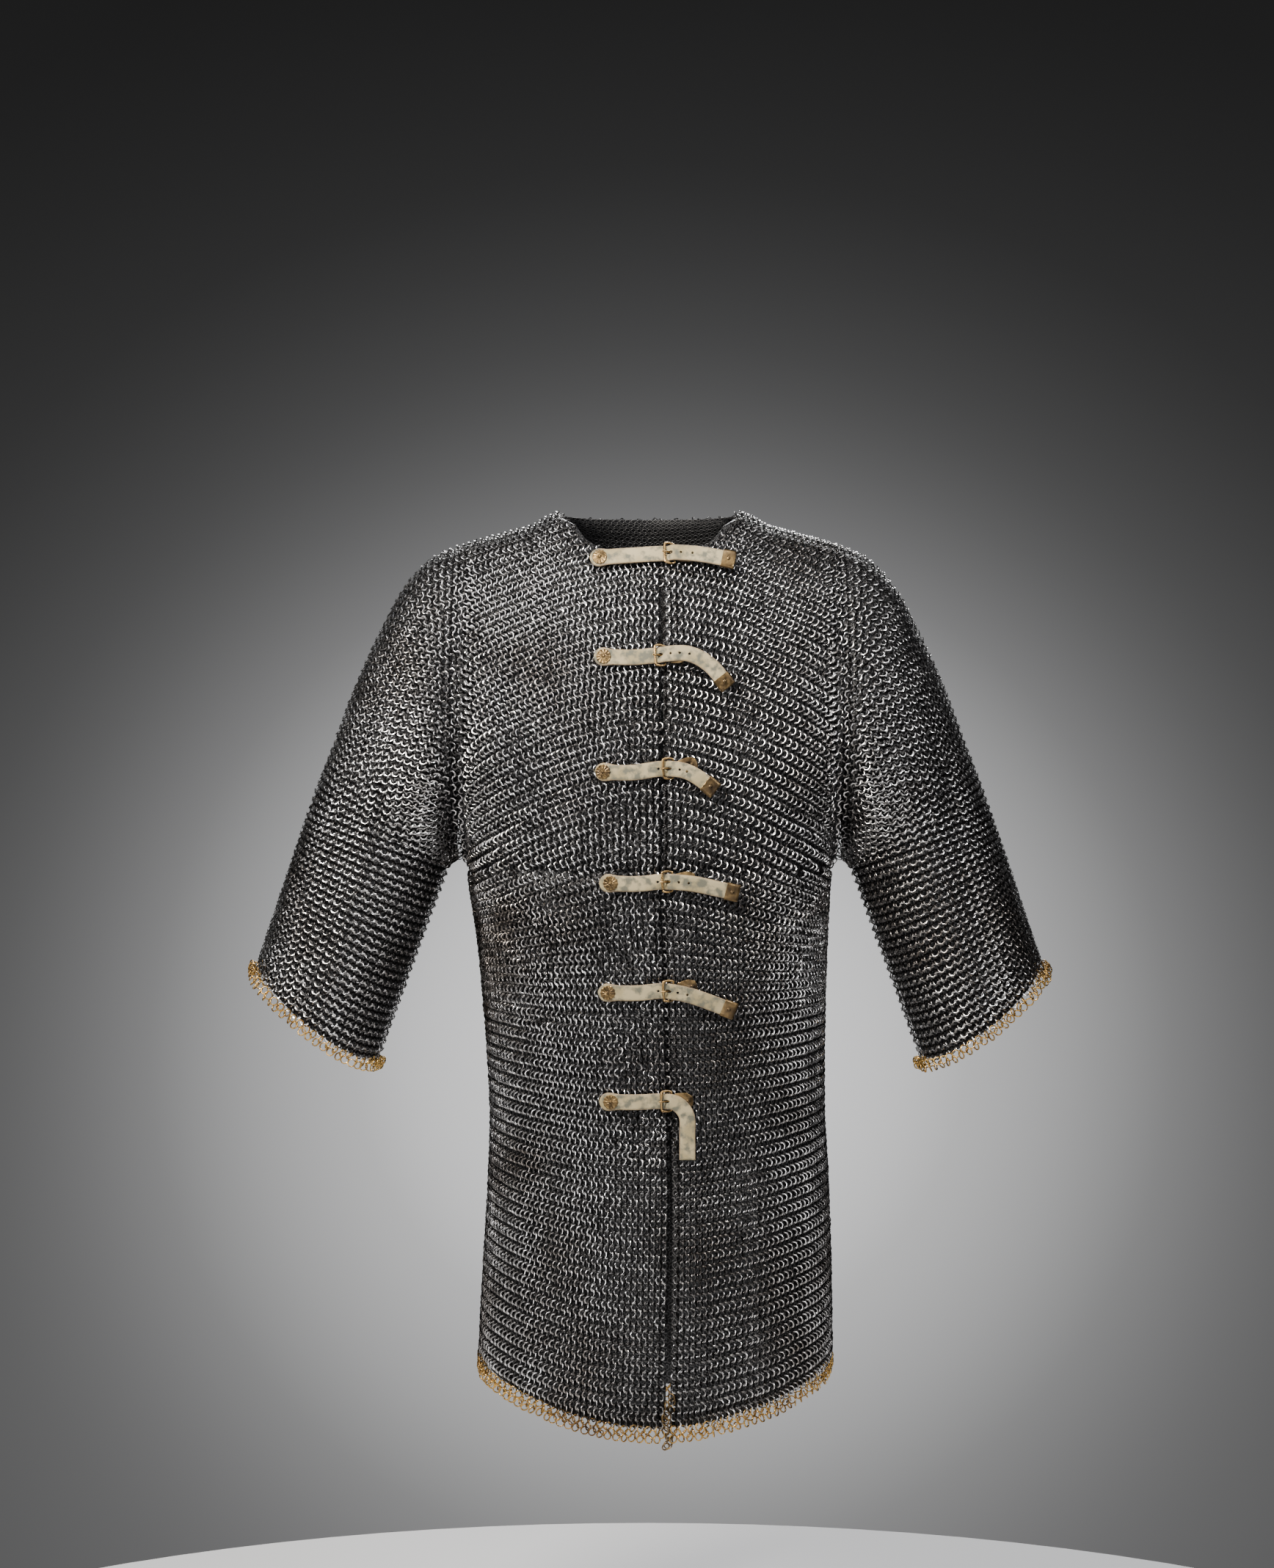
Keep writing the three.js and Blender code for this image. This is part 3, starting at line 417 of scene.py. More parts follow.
def sleeve_strip(side, face, inset, count=27):
    """Level steps along the straight sleeve, as far as inset short of the cuff's edge."""
    rib = arm_rib(side, SLEEVE_ANGLE)
    line = rib_line(rib, face)
    turn = math.radians(SLEEVE_ANGLE)
    axis = np.array([side * math.cos(turn), 0, -math.sin(turn)])
    foot = np.array([rib["foot"][0], 0, rib["foot"][1]])
    reach = np.array([rib["tip"][0], 0, rib["tip"][1]]) - foot
    s = np.clip((line - foot) @ reach / (reach @ reach), 0, 1)
    sag = CUFF_SAG * np.abs(line[:, 1]) / SLEEVE_DEPTH
    length = SLEEVE_INNER + (SLEEVE_OUTER - SLEEVE_INNER) * s + sag - inset
    fade = np.minimum(1, np.abs(line[:, 1]) / SOFT_EDGE)
    strip = []
    for share in np.linspace(0, 1, count):
        moved = foot + (line - foot) * (1 - SLEEVE_TAPER * share)
        moved[:, 1] = line[:, 1]
        moved = moved + axis * (share * length)[:, None]
        crease = fold_depth(face, moved[:, 0], moved[:, 2])
        moved[:, 1] -= face * fade * (crease - fold_depth(face, line[:, 0], line[:, 2]))
        strip.append(moved)
    return np.array(strip)


cuff_rim = sleeve_strip(1, FRONT, 0)[-1]
print("half way round a cuff in mm:", round(float(lengths(cuff_rim)[-1])))

# %% [markdown]
# ## Finishes of metal
# Polished steel rings are nearly white where they catch a light and nearly black elsewhere, so a
# bright metal with moderate gloss does most of the work. What makes it look used is unevenness:
# broad patches of duller, browner tarnish, small changes from ring to ring, and a fine scratched
# grain that spreads the gloss. The sunken half of every steel ring is painted near black as shade
# and made rougher, so only its proud half shines. Brass gets the same unevenness in gold: bright
# on rings and buckles, and dark and aged on rosettes, tips and leaves.

# %% Helpers for node materials
def new_material(name):
    material = bpy.data.materials.new(name)
    material.use_nodes = True
    return material, material.node_tree.nodes["Principled BSDF"]


def node(material, kind, sockets=(), **values):
    """Adds a node, sets its values, and links (input name, output socket or value) pairs."""
    made = material.node_tree.nodes.new(kind)
    for key, value in values.items():
        setattr(made, key, value)
    for name, source in sockets:
        if isinstance(source, bpy.types.NodeSocket):
            material.node_tree.links.new(source, made.inputs[name])
        else:
            made.inputs[name].default_value = source
    return made


def object_noise(material, scale, detail=2.0):
    place = node(material, "ShaderNodeTexCoord").outputs["Object"]
    sockets = [("Vector", place), ("Scale", scale), ("Detail", detail)]
    return node(material, "ShaderNodeTexNoise", sockets).outputs["Fac"]


def spread(material, source, low, high, from_low=0.35, from_high=0.65):
    """Stretches a noise from its usual range to low..high."""
    sockets = [("Value", source), ("From Min", from_low), ("From Max", from_high),
               ("To Min", low), ("To Max", high)]
    return node(material, "ShaderNodeMapRange", sockets).outputs[0]


def blend(material, factor, first, second):
    """Mixes two colours; each is a tuple or a socket."""
    mixer = node(material, "ShaderNodeMix", data_type="RGBA")
    links = material.node_tree.links
    links.new(factor, mixer.inputs[0])
    for socket, colour in ((mixer.inputs[6], first), (mixer.inputs[7], second)):
        if isinstance(colour, bpy.types.NodeSocket):
            links.new(colour, socket)
        else:
            socket.default_value = (*colour, 1)
    return mixer.outputs[2]


RING_SCALE, SCRATCH_SCALE = 150.0, 260.0


def worn_metal(name, bright, dull, stain, gloss, patch=9.0):
    """Metal with ring-to-ring changes, broad stained patches and a scratched grain."""
    material, shader = new_material(name)
    links = material.node_tree.links
    each = spread(material, object_noise(material, RING_SCALE), 0.0, 1.0)
    patches = spread(material, object_noise(material, patch, 4.0), 0.0, 1.0, 0.48, 0.72)
    metal = blend(material, each, dull, bright)
    links.new(blend(material, patches, metal, stain), shader.inputs["Base Color"])
    shader.inputs["Metallic"].default_value = 1.0
    scratches = object_noise(material, SCRATCH_SCALE, 3.0)
    links.new(spread(material, scratches, *gloss), shader.inputs["Roughness"])
    bump = node(material, "ShaderNodeBump", [("Strength", 0.25), ("Distance", 0.0002),
                                             ("Height", scratches)])
    links.new(bump.outputs[0], shader.inputs["Normal"])
    return material


def with_painted_recess_shade(material, recess_shade, map_name):
    """Paints shade on the recessed half of every ring, whose height is the first UV value, and
    makes that half rougher.
    """
    shader = material.node_tree.nodes["Principled BSDF"]
    links = material.node_tree.links
    place = node(material, "ShaderNodeUVMap", uv_map=map_name).outputs[0]
    split = node(material, "ShaderNodeSeparateXYZ", [("Vector", place)])
    height = spread(material, split.outputs["X"], 0.0, 1.0, 0.38, 0.72)
    each = spread(material, split.outputs["Y"], 0.55, 1.0, 0.0, 1.0)
    # painted shade: 0 on a ring's sunken half, where the colour turns near black
    unshaded = node(material, "ShaderNodeMath", [(0, height), (1, each)], operation="MULTIPLY")
    metal = shader.inputs["Base Color"].links[0].from_socket
    links.new(blend(material, unshaded.outputs[0], recess_shade, metal), shader.inputs["Base Color"])
    gloss = shader.inputs["Roughness"].links[0].from_socket
    rough = spread(material, height, 0.35, 0.0, 0.0, 1.0)
    total = node(material, "ShaderNodeMath", [(0, gloss), (1, rough)], operation="ADD")
    links.new(total.outputs[0], shader.inputs["Roughness"])


ring_steel = worn_metal(
    "polished_ring_steel", (0.80, 0.78, 0.78), (0.30, 0.29, 0.29), (0.22, 0.19, 0.17), (0.14, 0.34))
# painted shade: the sunken half of every steel ring is near black and rougher, so only its proud
# half shines
with_painted_recess_shade(ring_steel, (0.008, 0.007, 0.007), "ring")
ring_brass = worn_metal(
    "golden_ring_brass", (0.60, 0.37, 0.11), (0.40, 0.24, 0.07), (0.20, 0.11, 0.04), (0.2, 0.4))
fitting_brass = worn_metal(
    "cast_brass", (0.46, 0.30, 0.13), (0.30, 0.19, 0.08), (0.11, 0.07, 0.035), (0.24, 0.5),
    patch=60.0)
dark_brass = worn_metal(
    "dark_aged_brass", (0.22, 0.145, 0.065), (0.12, 0.08, 0.04), (0.04, 0.028, 0.02), (0.3, 0.55),
    patch=80.0)
print("metals:", [m.name for m in (ring_steel, ring_brass, fitting_brass, dark_brass)])

# %% [markdown]
# ## Painted shade behind the rings
# Between real rings one looks through to a second layer and then into shadow. A thin shell just
# under the rings, painted near black as that shade, gives the depth, and its own pattern of small
# rings, painted dim as mail in shade, reads as mail where the inside shows at the neck, hem and
# cuffs. A second layer of modelled rings would do the same at twice the triangles. It is a true
# sheet with a little thickness, set inwards from the same surface that carries the rings, and it
# stops short of hem and cuffs, where the brass rings hang free.

# %% Finish of the shell
def ring_pattern(material):
    """Rings of a lattice: 1 on the wires and 0 between them, in rows of the UV map."""
    def step(kind, *values):
        return node(material, "ShaderNodeMath", list(enumerate(values)), operation=kind).outputs[0]

    place = node(material, "ShaderNodeUVMap", uv_map="rows").outputs[0]
    split = node(material, "ShaderNodeSeparateXYZ", [("Vector", place)])
    shift = step("MULTIPLY", step("MODULO", step("FLOOR", split.outputs["Y"]), 2.0), 0.5)
    across = step("SUBTRACT", step("FRACT", step("ADD", split.outputs["X"], shift)), 0.5)
    up = step("SUBTRACT", step("FRACT", split.outputs["Y"]), 0.5)
    reach = step("SQRT", step("ADD", step("POWER", across, 2.0), step("POWER", up, 2.0)))
    return spread(material, step("ABSOLUTE", step("SUBTRACT", reach, 0.4)), 1.0, 0.0, 0.05, 0.13)


def shell_finish():
    material, shader = new_material("shadowed_mail")
    links = material.node_tree.links
    arcs = ring_pattern(material)
    dust = spread(material, object_noise(material, 30.0), 0.6, 1.0)
    lit = node(material, "ShaderNodeMath", [(0, arcs), (1, dust)], operation="MULTIPLY")
    # painted shade: near-black gaps, with the dim wires of a second layer of rings in shadow
    colour = blend(material, lit.outputs[0], (0.004, 0.004, 0.005), (0.08, 0.078, 0.08))
    links.new(colour, shader.inputs["Base Color"])
    shader.inputs["Metallic"].default_value = 0.5
    shader.inputs["Roughness"].default_value = 0.55
    bump = node(material, "ShaderNodeBump", [("Strength", 0.8), ("Distance", 0.001),
                                             ("Height", arcs)])
    links.new(bump.outputs[0], shader.inputs["Normal"])
    return material


shadowed_mail = shell_finish()
print("shell finish:", shadowed_mail.name)

# %% Mesh helpers
def shirt_piece(name, mesh, finish, nodes):
    """Puts a mesh on the shirt's body, in a finish, standing for nodes of the frame."""
    thing = bpy.data.objects.new(name, mesh)
    bpy.context.scene.collection.objects.link(thing)
    mesh.materials.append(finish)
    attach(thing, "root")
    if nodes:
        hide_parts(*nodes)
    return thing


def mesh_piece(name, points, faces, finish, nodes):
    """A smooth piece from points in millimetres and faces of any number of corners."""
    mesh = bpy.data.meshes.new(name)
    mesh.from_pydata((np.asarray(points) * MM).tolist(), [], faces)
    mesh.polygons.foreach_set("use_smooth", [True] * len(mesh.polygons))
    mesh.update()
    return shirt_piece(name, mesh, finish, nodes)


def give_map(mesh, name, places):
    """A UV map from one pair of values for each vertex."""
    layer = mesh.uv_layers.new(name=name)
    corners = np.empty(len(mesh.loops), dtype=np.int32)
    mesh.loops.foreach_get("vertex_index", corners)
    layer.data.foreach_set("uv", np.asarray(places)[corners].astype(np.float32).ravel())


def with_modifiers_applied(thing):
    graph = bpy.context.evaluated_depsgraph_get()
    made = bpy.data.meshes.new_from_object(thing.evaluated_get(graph))
    thing.modifiers.clear()
    thing.data = made
    return thing


def grid_normals(grid):
    """Unit normals of a grid of points, to the right of its rows."""
    normal = np.cross(np.gradient(grid, axis=0), np.gradient(grid, axis=1))
    return normal / np.maximum(np.linalg.norm(normal, axis=-1, keepdims=True), 1e-9)


# %% Shell of one panel
SHELL_DEPTH = 5.3         # under the outside of the mail
SHELL_WALL = 0.5
SHELL_STEP = 4            # keeps every fourth point of a rib
LOWER_POINTS = 23         # down a column of the skirt
ARC_PITCH, ARC_ROW = 5.6, 6.1


def lattice_places(grid):
    """Distances along and up a grid, counted in rings."""
    along = np.linalg.norm(np.diff(grid, axis=0), axis=-1).mean(axis=1)
    up = np.linalg.norm(np.diff(grid, axis=1), axis=-1).mean(axis=0)
    u = np.concatenate([[0], np.cumsum(along)]) / ARC_PITCH
    v = np.concatenate([[0], np.cumsum(up)]) / ARC_ROW
    return np.stack(np.meshgrid(u, v, indexing="ij"), axis=-1)


def shell(name, face, grids, nodes):
    """One thin closed sheet from grids whose columns run from right to left, on one face."""
    points, faces, places = [], [], []
    outwards = -face
    for grid in grids:
        base = len(points)
        columns, rows = grid.shape[:2]
        points.extend((grid - SHELL_DEPTH * outwards * grid_normals(grid)).reshape(-1, 3))
        places.extend(lattice_places(grid).reshape(-1, 2))
        for i in range(columns - 1):
            for j in range(rows - 1):
                a = base + i * rows + j
                ring = (a, a + rows, a + rows + 1, a + 1)
                faces.append(ring if outwards > 0 else ring[::-1])
    thing = mesh_piece(name, points, faces, shadowed_mail, nodes)
    give_map(thing.data, "rows", places)
    weld = thing.modifiers.new("weld", "WELD")
    weld.merge_threshold = 0.2 * MM
    wall = thing.modifiers.new("wall", "SOLIDIFY")
    wall.thickness = SHELL_WALL * MM
    wall.offset = -1
    return with_modifiers_applied(thing)


# %% Fronts and back of the shell
def lower_grid(face, start, end, count):
    """Columns from share start to end of the torso tube, down to the brass border."""
    columns = []
    for share in np.linspace(0, 1, count):
        z_end = hem_height(start(HEM_SIDE) + (end(HEM_SIDE) - start(HEM_SIDE)) * share) + HEM_BAND
        z = z_end + (ARMPIT_Z - z_end) * (1 - np.linspace(1, 0, LOWER_POINTS))
        q = start(z) + (end(z) - start(z)) * share
        columns.append(torso_point(face, q, z))
    return np.array(columns)


def upper_grid(face, start, end, count):
    """Ribs from x = start to x = end, cut by the neckline."""
    return np.array([rib_line(torso_rib(x), face, neck_cut(x, face))[::SHELL_STEP]
                     for x in np.linspace(start, end, count)])


def fixed(share):
    return lambda z: share + 0 * z


def share_at(side):
    return lambda z: edge_share(side, z)


EDGE_RIGHT, EDGE_LEFT = OPENING_X - OPENING_GAP / 2, OPENING_X + OPENING_GAP / 2
shell_front_right = shell("shell_front_right", FRONT, [
    lower_grid(FRONT, fixed(-1.0), share_at(-1), 18),
    upper_grid(FRONT, -ARMHOLE_X, EDGE_RIGHT, 17)], ["front_right"])
shell_front_left = shell("shell_front_left", FRONT, [
    lower_grid(FRONT, share_at(1), fixed(1.0), 17),
    upper_grid(FRONT, EDGE_LEFT, ARMHOLE_X, 15)], ["front_left"])
shell_back = shell("shell_back", BACK, [
    lower_grid(BACK, fixed(-1.0), fixed(1.0), 33),
    upper_grid(BACK, -ARMHOLE_X, ARMHOLE_X, 31)], ["back"])
shells = [shell_front_right, shell_front_left, shell_back]
print("shell triangles:", [2 * len(s.data.polygons) for s in shells])

# %% Sleeves of the shell
def sleeve_shell(name, side, nodes):
    """A sleeve is drawn as loops that run up its front and down its back."""
    strips = [np.concatenate([shoulder_strip(side, face, 17), sleeve_strip(
        side, face, CUFF_BAND, 10)[1:]])[:, ::SHELL_STEP] for face in (FRONT, BACK)]
    loops = np.concatenate([strips[0], strips[1][:, ::-1][:, 1:]], axis=1)
    return shell(name, FRONT * side, [loops], nodes)


shell_sleeve_right = sleeve_shell("shell_sleeve_right", -1, ["sleeve_right"])
shell_sleeve_left = sleeve_shell("shell_sleeve_left", 1, ["sleeve_left"])
print("sleeve shell triangles:", [2 * len(s.data.polygons)
                                  for s in (shell_sleeve_right, shell_sleeve_left)])

# %% [markdown]
# ## The ring lattice
# In European mail every ring passes through four neighbours. What one sees is rows of rings that
# lean on each other like fallen dominoes, all one way in one row and the other way in the next,
# with each row set half a ring along from the last. A particle system or an instancer could
# scatter rings, but it wouldn't keep that order round the body. Here each ring gets its own place
# and frame from the surface, and arrays turn all of a panel's rings into one mesh. Neighbours
# overlap as linked rings do, without being threaded through one another.

# %% Frames of rings
LEAN_TORSO, LEAN_SLEEVE = math.radians(38), math.radians(28)
RING_DEPTH = 2.3          # ring centres under the outside of the mail
WIRE_INNER, WIRE_CREST, WIRE_OUTER, WIRE_RISE = 2.7, 3.5, 4.3, 0.45
TILT_WOBBLE, TIP_WOBBLE, DRIFT = 0.07, 0.06, 0.18      # radians, radians and mm


def unit(vectors):
    return vectors / np.maximum(np.linalg.norm(vectors, axis=-1, keepdims=True), 1e-9)


def ring_frames(points, along, up, parity, lean, chance, loose):
    """Centres and axes of rings, and which end is proud; parity says which way each leans."""
    along = unit(along)
    outward = unit(np.cross(along, up))
    up = np.cross(outward, along)
    count = len(points)
    wobble = 1 + loose
    tilt = lean * np.where(parity, -1, 1) + wobble * chance.normal(0, TILT_WOBBLE, count)
    tip = wobble * chance.normal(0, TIP_WOBBLE, count)
    drift = (1 + 0.6 * loose)[:, None] * chance.normal(0, DRIFT, (count, 3))
    centre = points - RING_DEPTH * outward + drift
    normal = unit(outward * np.cos(tilt)[:, None] + along * np.sin(tilt)[:, None]
                  + up * tip[:, None])
    first = unit(along - normal * (along * normal).sum(-1, keepdims=True))
    return centre, first, np.cross(normal, first), normal, -np.sign(tilt)


def ring_strip_mesh(name, frames, segments):
    """All steel rings of a panel as flattened, slightly crowned strips."""
    centre, first, second, normal, proud = frames
    angle = 2 * math.pi * np.arange(segments) / segments
    radii = np.array([WIRE_INNER, WIRE_CREST, WIRE_OUTER])
    rises = np.array([0, WIRE_RISE, 0])
    cosine, sine = np.outer(np.cos(angle), radii), np.outer(np.sin(angle), radii)
    points = (centre[:, None, None] + cosine[None, ..., None] * first[:, None, None]
              + sine[None, ..., None] * second[:, None, None]
              + rises[None, None, :, None] * normal[:, None, None])
    i, k = np.meshgrid(np.arange(segments), np.arange(2), indexing="ij")
    j = (i + 1) % segments
    quads = np.stack([3 * i + k, 3 * i + k + 1, 3 * j + k + 1, 3 * j + k], axis=-1).reshape(-1, 4)
    faces = quads[None] + (3 * segments * np.arange(len(centre)))[:, None, None]
    # height runs from 1 at a ring's proud end to 0 at its sunken end, where the steel's material
    # paints shade
    height = 0.5 + 0.5 * proud[:, None] * np.cos(angle)[None]
    chance = np.random.RandomState(len(centre)).rand(len(centre))
    marks = np.stack([np.repeat(height[..., None], 3, -1),
                      np.broadcast_to(chance[:, None, None], (len(centre), segments, 3))], -1)
    thing = array_mesh(name, points.reshape(-1, 3), faces.reshape(-1, 4), ring_steel)
    give_map(thing.data, "ring", marks.reshape(-1, 2))
    return thing


def array_mesh(name, points, quads, finish, nodes=()):
    """A smooth piece of quads, filled straight from arrays."""
    mesh = bpy.data.meshes.new(name)
    mesh.vertices.add(len(points))
    mesh.vertices.foreach_set("co", (points * MM).astype(np.float32).ravel())
    mesh.loops.add(4 * len(quads))
    mesh.loops.foreach_set("vertex_index", quads.astype(np.int32).ravel())
    mesh.polygons.add(len(quads))
    mesh.polygons.foreach_set("loop_start", 4 * np.arange(len(quads), dtype=np.int32))
    mesh.polygons.foreach_set("use_smooth", np.ones(len(quads), dtype=bool))
    mesh.update(calc_edges=True)
    return shirt_piece(name, mesh, finish, nodes)


print("ring outside in mm:", 2 * WIRE_OUTER)

# %% Rows of the whole lattice
UPPER_ROWS = 64           # from the armpits to the shoulder ridge, at the middle
SLEEVE_ROWS = 45
LOWER_ROWS = 81           # from the armpits to the brass border
QUARTER_RINGS = 42        # from the middle of the front or back to the side
NARROWING = UPPER_ROWS / SLEEVE_ROWS - 1
CHEST_CLOSING = 0.5       # part of the narrowing that is done at the armhole
CHEST_ARCH = 1.7          # how late, on the way to the armhole, rows begin to droop
LEVEL_BY = 0.3            # share of the skirt by which rows run level again


def row_share(row, closing):
    """Share up the ribs at which a row lies; rows are numbered upwards from the armpits."""
    return 1 - (1 - (row + 0.5) / UPPER_ROWS) * (1 + closing * NARROWING)


def chest_closing(out):
    """Rows droop from the middle, as out runs from 0 there to 1 at the armhole."""
    return CHEST_CLOSING * np.abs(out) ** CHEST_ARCH


def rows_at_foot(out):
    """How many chest rows have drooped below the level of the armpits."""
    return UPPER_ROWS * (1 - 1 / (1 + chest_closing(out) * NARROWING))


def row_offset(face, side, parity):
    """Share of a ring's pitch at which a row starts, so that rows alternate round the body."""
    base = np.where(parity, 0.75, 0.25)
    return base if side * face < 0 else 1 - base


print("chest rows that end at each side below the armpit:", round(float(rows_at_foot(1))))

# %% Rows below the armpits
FINE = 161                # steps down a column, to find where a row crosses it
EDGE_ROOM, EDGE_ROOM_ADDED = 0.6, 2.0
EDGE_ROOM_FROM, EDGE_ROOM_RUN = SPLIT_FROM - 20, 30      # where the edges part, going down


def lower_rings(face, side, keep):
    """Ring places on a quarter of the tube, with directions along the row and up."""
    share = np.linspace(0, 1, FINE)
    made = []
    for row in range(int(rows_at_foot(1)) + 1, -LOWER_ROWS - 1, -1):
        parity = bool(row % 2)
        q = side * (np.arange(QUARTER_RINGS) + row_offset(face, side, parity)) / QUARTER_RINGS

        def down(q):
            """Share of the way down the skirt at which this row crosses column q."""
            out = np.abs(torso_point(face, q, np.full_like(q, ARMPIT_Z))[:, 0]) / ARMHOLE_X
            foot = rows_at_foot(out)[:, None]
            count = foot * (1 - ease(share / LEVEL_BY)) - LOWER_ROWS * share
            return np.array([np.interp(-(row + 0.5), -c, share, left=-1) for c in count])

        def place(q, level):
            end = hem_height(q) + HEM_BAND
            return torso_point(face, q, ARMPIT_Z + (end - ARMPIT_Z) * level)

        step = 0.3 / QUARTER_RINGS
        level = down(q)
        points = place(q, level)
        along = (place(q + step, down(q + step)) - place(q - step, down(q - step))) * -face
        up = place(q, level - 0.003) - place(q, level + 0.003)
        chosen = keep(q, points) & (level > 0) & (level < 1)
        chosen &= (down(q + step) > 0) & (down(q - step) > 0)
        made.append((points[chosen], along[chosen], up[chosen], np.full(chosen.sum(), parity)))
    return joined(made)


def joined(parts):
    return [np.concatenate(pair) for pair in zip(*parts)]


def edge_room(z):
    """From an edge to the last ring's centre: edges overlap above the last buckle."""
    return EDGE_ROOM + EDGE_ROOM_ADDED * ease((EDGE_ROOM_FROM - z) / EDGE_ROOM_RUN)


def right_of_opening(q, points):
    z = points[..., 2]
    return q < edge_share(-1, z) - edge_room(z) / PLAN_LENGTH


def left_of_opening(q, points):
    z = points[..., 2]
    return q > edge_share(1, z) + edge_room(z) / PLAN_LENGTH


def all_round(q, points):
    return np.ones(q.shape, dtype=bool)


print("rings in a full row of the skirt:", 4 * QUARTER_RINGS)

# %% [markdown]
# ## Rows over chest, shoulder and sleeve
# The same rows run from the chest over the shoulder and down the sleeve. The sleeve is narrower
# than the chest, so rows droop from the middle towards the armpits and the lowest run out at the
# sides, which gives the chest its arched look. Rows shorten up the chest and lengthen over the
# shoulder, and a real shirt loses or gets rings there every few rows: the count of a row is kept
# until its rings would stand too close or too far apart, and is then changed.

# %% Rows above the armpits
SLEEVE_RINGS = 24         # along the straight sleeve
CHEST_PITCH = (5.2, 6.4, 5.9)      # least, most, and the one a fresh count starts from
SHOULDER_PITCH = (6.2, 8.0, 6.6)
NECK_ROOM = 2.6           # from the neckline to the last ring's centre
NUDGE = 0.004             # step, as a share, to either side of a ring to find its directions


def on_strip(strip, u, v):
    """Bilinear place on a strip, with u along its ribs' order and v up each rib."""
    a = np.clip(u, 0, 1) * (strip.shape[0] - 1)
    b = np.clip(v, 0, 1) * (strip.shape[1] - 1)
    i = np.clip(a.astype(int), 0, strip.shape[0] - 2)
    j = np.clip(b.astype(int), 0, strip.shape[1] - 2)
    s, t = (a - i)[..., None], (b - j)[..., None]
    return ((strip[i, j] * (1 - s) + strip[i + 1, j] * s) * (1 - t)
            + (strip[i, j + 1] * (1 - s) + strip[i + 1, j + 1] * s) * t)


def strip_rings(strip, side, face, count_of_row, closing):
    """Rings of every row on one strip; closing gives each u's share of the narrowing."""
    made = []
    travel = -side * face
    for row in range(UPPER_ROWS):
        parity = bool(row % 2)
        dense = np.linspace(0, 1, 121)
        path = on_strip(strip, dense, row_share(row, closing(dense)))
        run = lengths(path)
        count = count_of_row(run[-1])
        want = (np.arange(count) + row_offset(face, side, parity)) / count * run[-1]
        u = np.interp(want, run, dense)
        v = row_share(row, closing(u))
        along = travel * (on_strip(strip, u + NUDGE, row_share(row, closing(u + NUDGE)))
                          - on_strip(strip, u - NUDGE, row_share(row, closing(u - NUDGE))))
        up = on_strip(strip, u, v + NUDGE) - on_strip(strip, u, v - NUDGE)
        inside = v > 0.3 / UPPER_ROWS
        made.append((on_strip(strip, u, v)[inside], along[inside], up[inside],
                     np.full(inside.sum(), parity)))
    return joined(made)


def held_counts(least, most, fresh):
    """Counts for rows whose length changes, held from row to row while the pitch is in range."""
    held = [0]

    def count(length):
        if held[0] == 0 or not least <= length / held[0] <= most:
            held[0] = max(2, round(length / fresh))
        return held[0]

    return count


def shoulder_closing(u):
    return CHEST_CLOSING + (1 - CHEST_CLOSING) * ease(u)


def sleeve_closing(u):
    return np.ones_like(u)


def chest_rings(face, side):
    strip = torso_strip(side, face)
    points, along, up, parity = strip_rings(
        strip, side, face, held_counts(*CHEST_PITCH), chest_closing)
    x, z = points[:, 0], points[:, 2]
    edge = neck_edge(x, face)
    in_neck = (np.abs(x) < NECK_HALF_WIDTH + 2) & (z > edge - NECK_ROOM)
    keep = ~in_neck
    if face == FRONT:
        keep &= np.abs(x - OPENING_X) > OPENING_GAP / 2 + edge_room(z)
    return points[keep], along[keep], up[keep], parity[keep]


def arm_rings(face, side):
    shoulder = strip_rings(shoulder_strip(side, face), side, face,
                           held_counts(*SHOULDER_PITCH), shoulder_closing)
    sleeve = strip_rings(sleeve_strip(side, face, CUFF_BAND), side, face,
                         lambda length: SLEEVE_RINGS, sleeve_closing)
    return joined([shoulder, sleeve])


print("rows over the chest and along a sleeve:", UPPER_ROWS, SLEEVE_ROWS)

# %% Steel rings of the body
FRONT_SEGMENTS, BACK_SEGMENTS, SLEEVE_SEGMENTS = 8, 6, 7      # sides of each ring
LOOSE_MOST, LOOSE_X, LOOSE_WIDTH = 1.6, -12, 26
LOOSE_BOTTOM, LOOSE_TOP = -600, -150


def looseness(points):
    """Rings beside the buckled opening lie less evenly."""
    x, y, z = points.T
    band = np.exp(-(((x - LOOSE_X) / LOOSE_WIDTH) ** 4))
    between = ease((z - LOOSE_BOTTOM) / 30) * ease((LOOSE_TOP - z) / 40)
    return np.where(y < 0, LOOSE_MOST * band * between, 0.0)


def body_rings(name, parts, segments, seed):
    points, along, up, parity = joined(parts)
    chance = np.random.RandomState(seed)
    frames = ring_frames(points, along, up, parity, LEAN_TORSO, chance, looseness(points))
    return ring_strip_mesh(name, frames, segments)


def split_by_opening(parts, side):
    """Keeps what lies on one side of the opening."""
    points = parts[0]
    keep = points[:, 0] < OPENING_X if side < 0 else points[:, 0] > OPENING_X
    return [part[keep] for part in parts]


front_chest = joined([chest_rings(FRONT, -1), chest_rings(FRONT, 1)])
rings_front_right = body_rings("rings_front_right", [
    lower_rings(FRONT, -1, right_of_opening), lower_rings(FRONT, 1, right_of_opening),
    split_by_opening(front_chest, -1)], FRONT_SEGMENTS, 11)
rings_front_left = body_rings("rings_front_left", [
    lower_rings(FRONT, 1, left_of_opening),
    split_by_opening(front_chest, 1)], FRONT_SEGMENTS, 12)
rings_back_right = body_rings("rings_back_right", [
    lower_rings(BACK, -1, all_round), chest_rings(BACK, -1)], BACK_SEGMENTS, 13)
rings_back_left = body_rings("rings_back_left", [
    lower_rings(BACK, 1, all_round), chest_rings(BACK, 1)], BACK_SEGMENTS, 14)
body = [rings_front_right, rings_front_left, rings_back_right, rings_back_left]
print("body ring triangles:", [2 * len(r.data.polygons) for r in body])

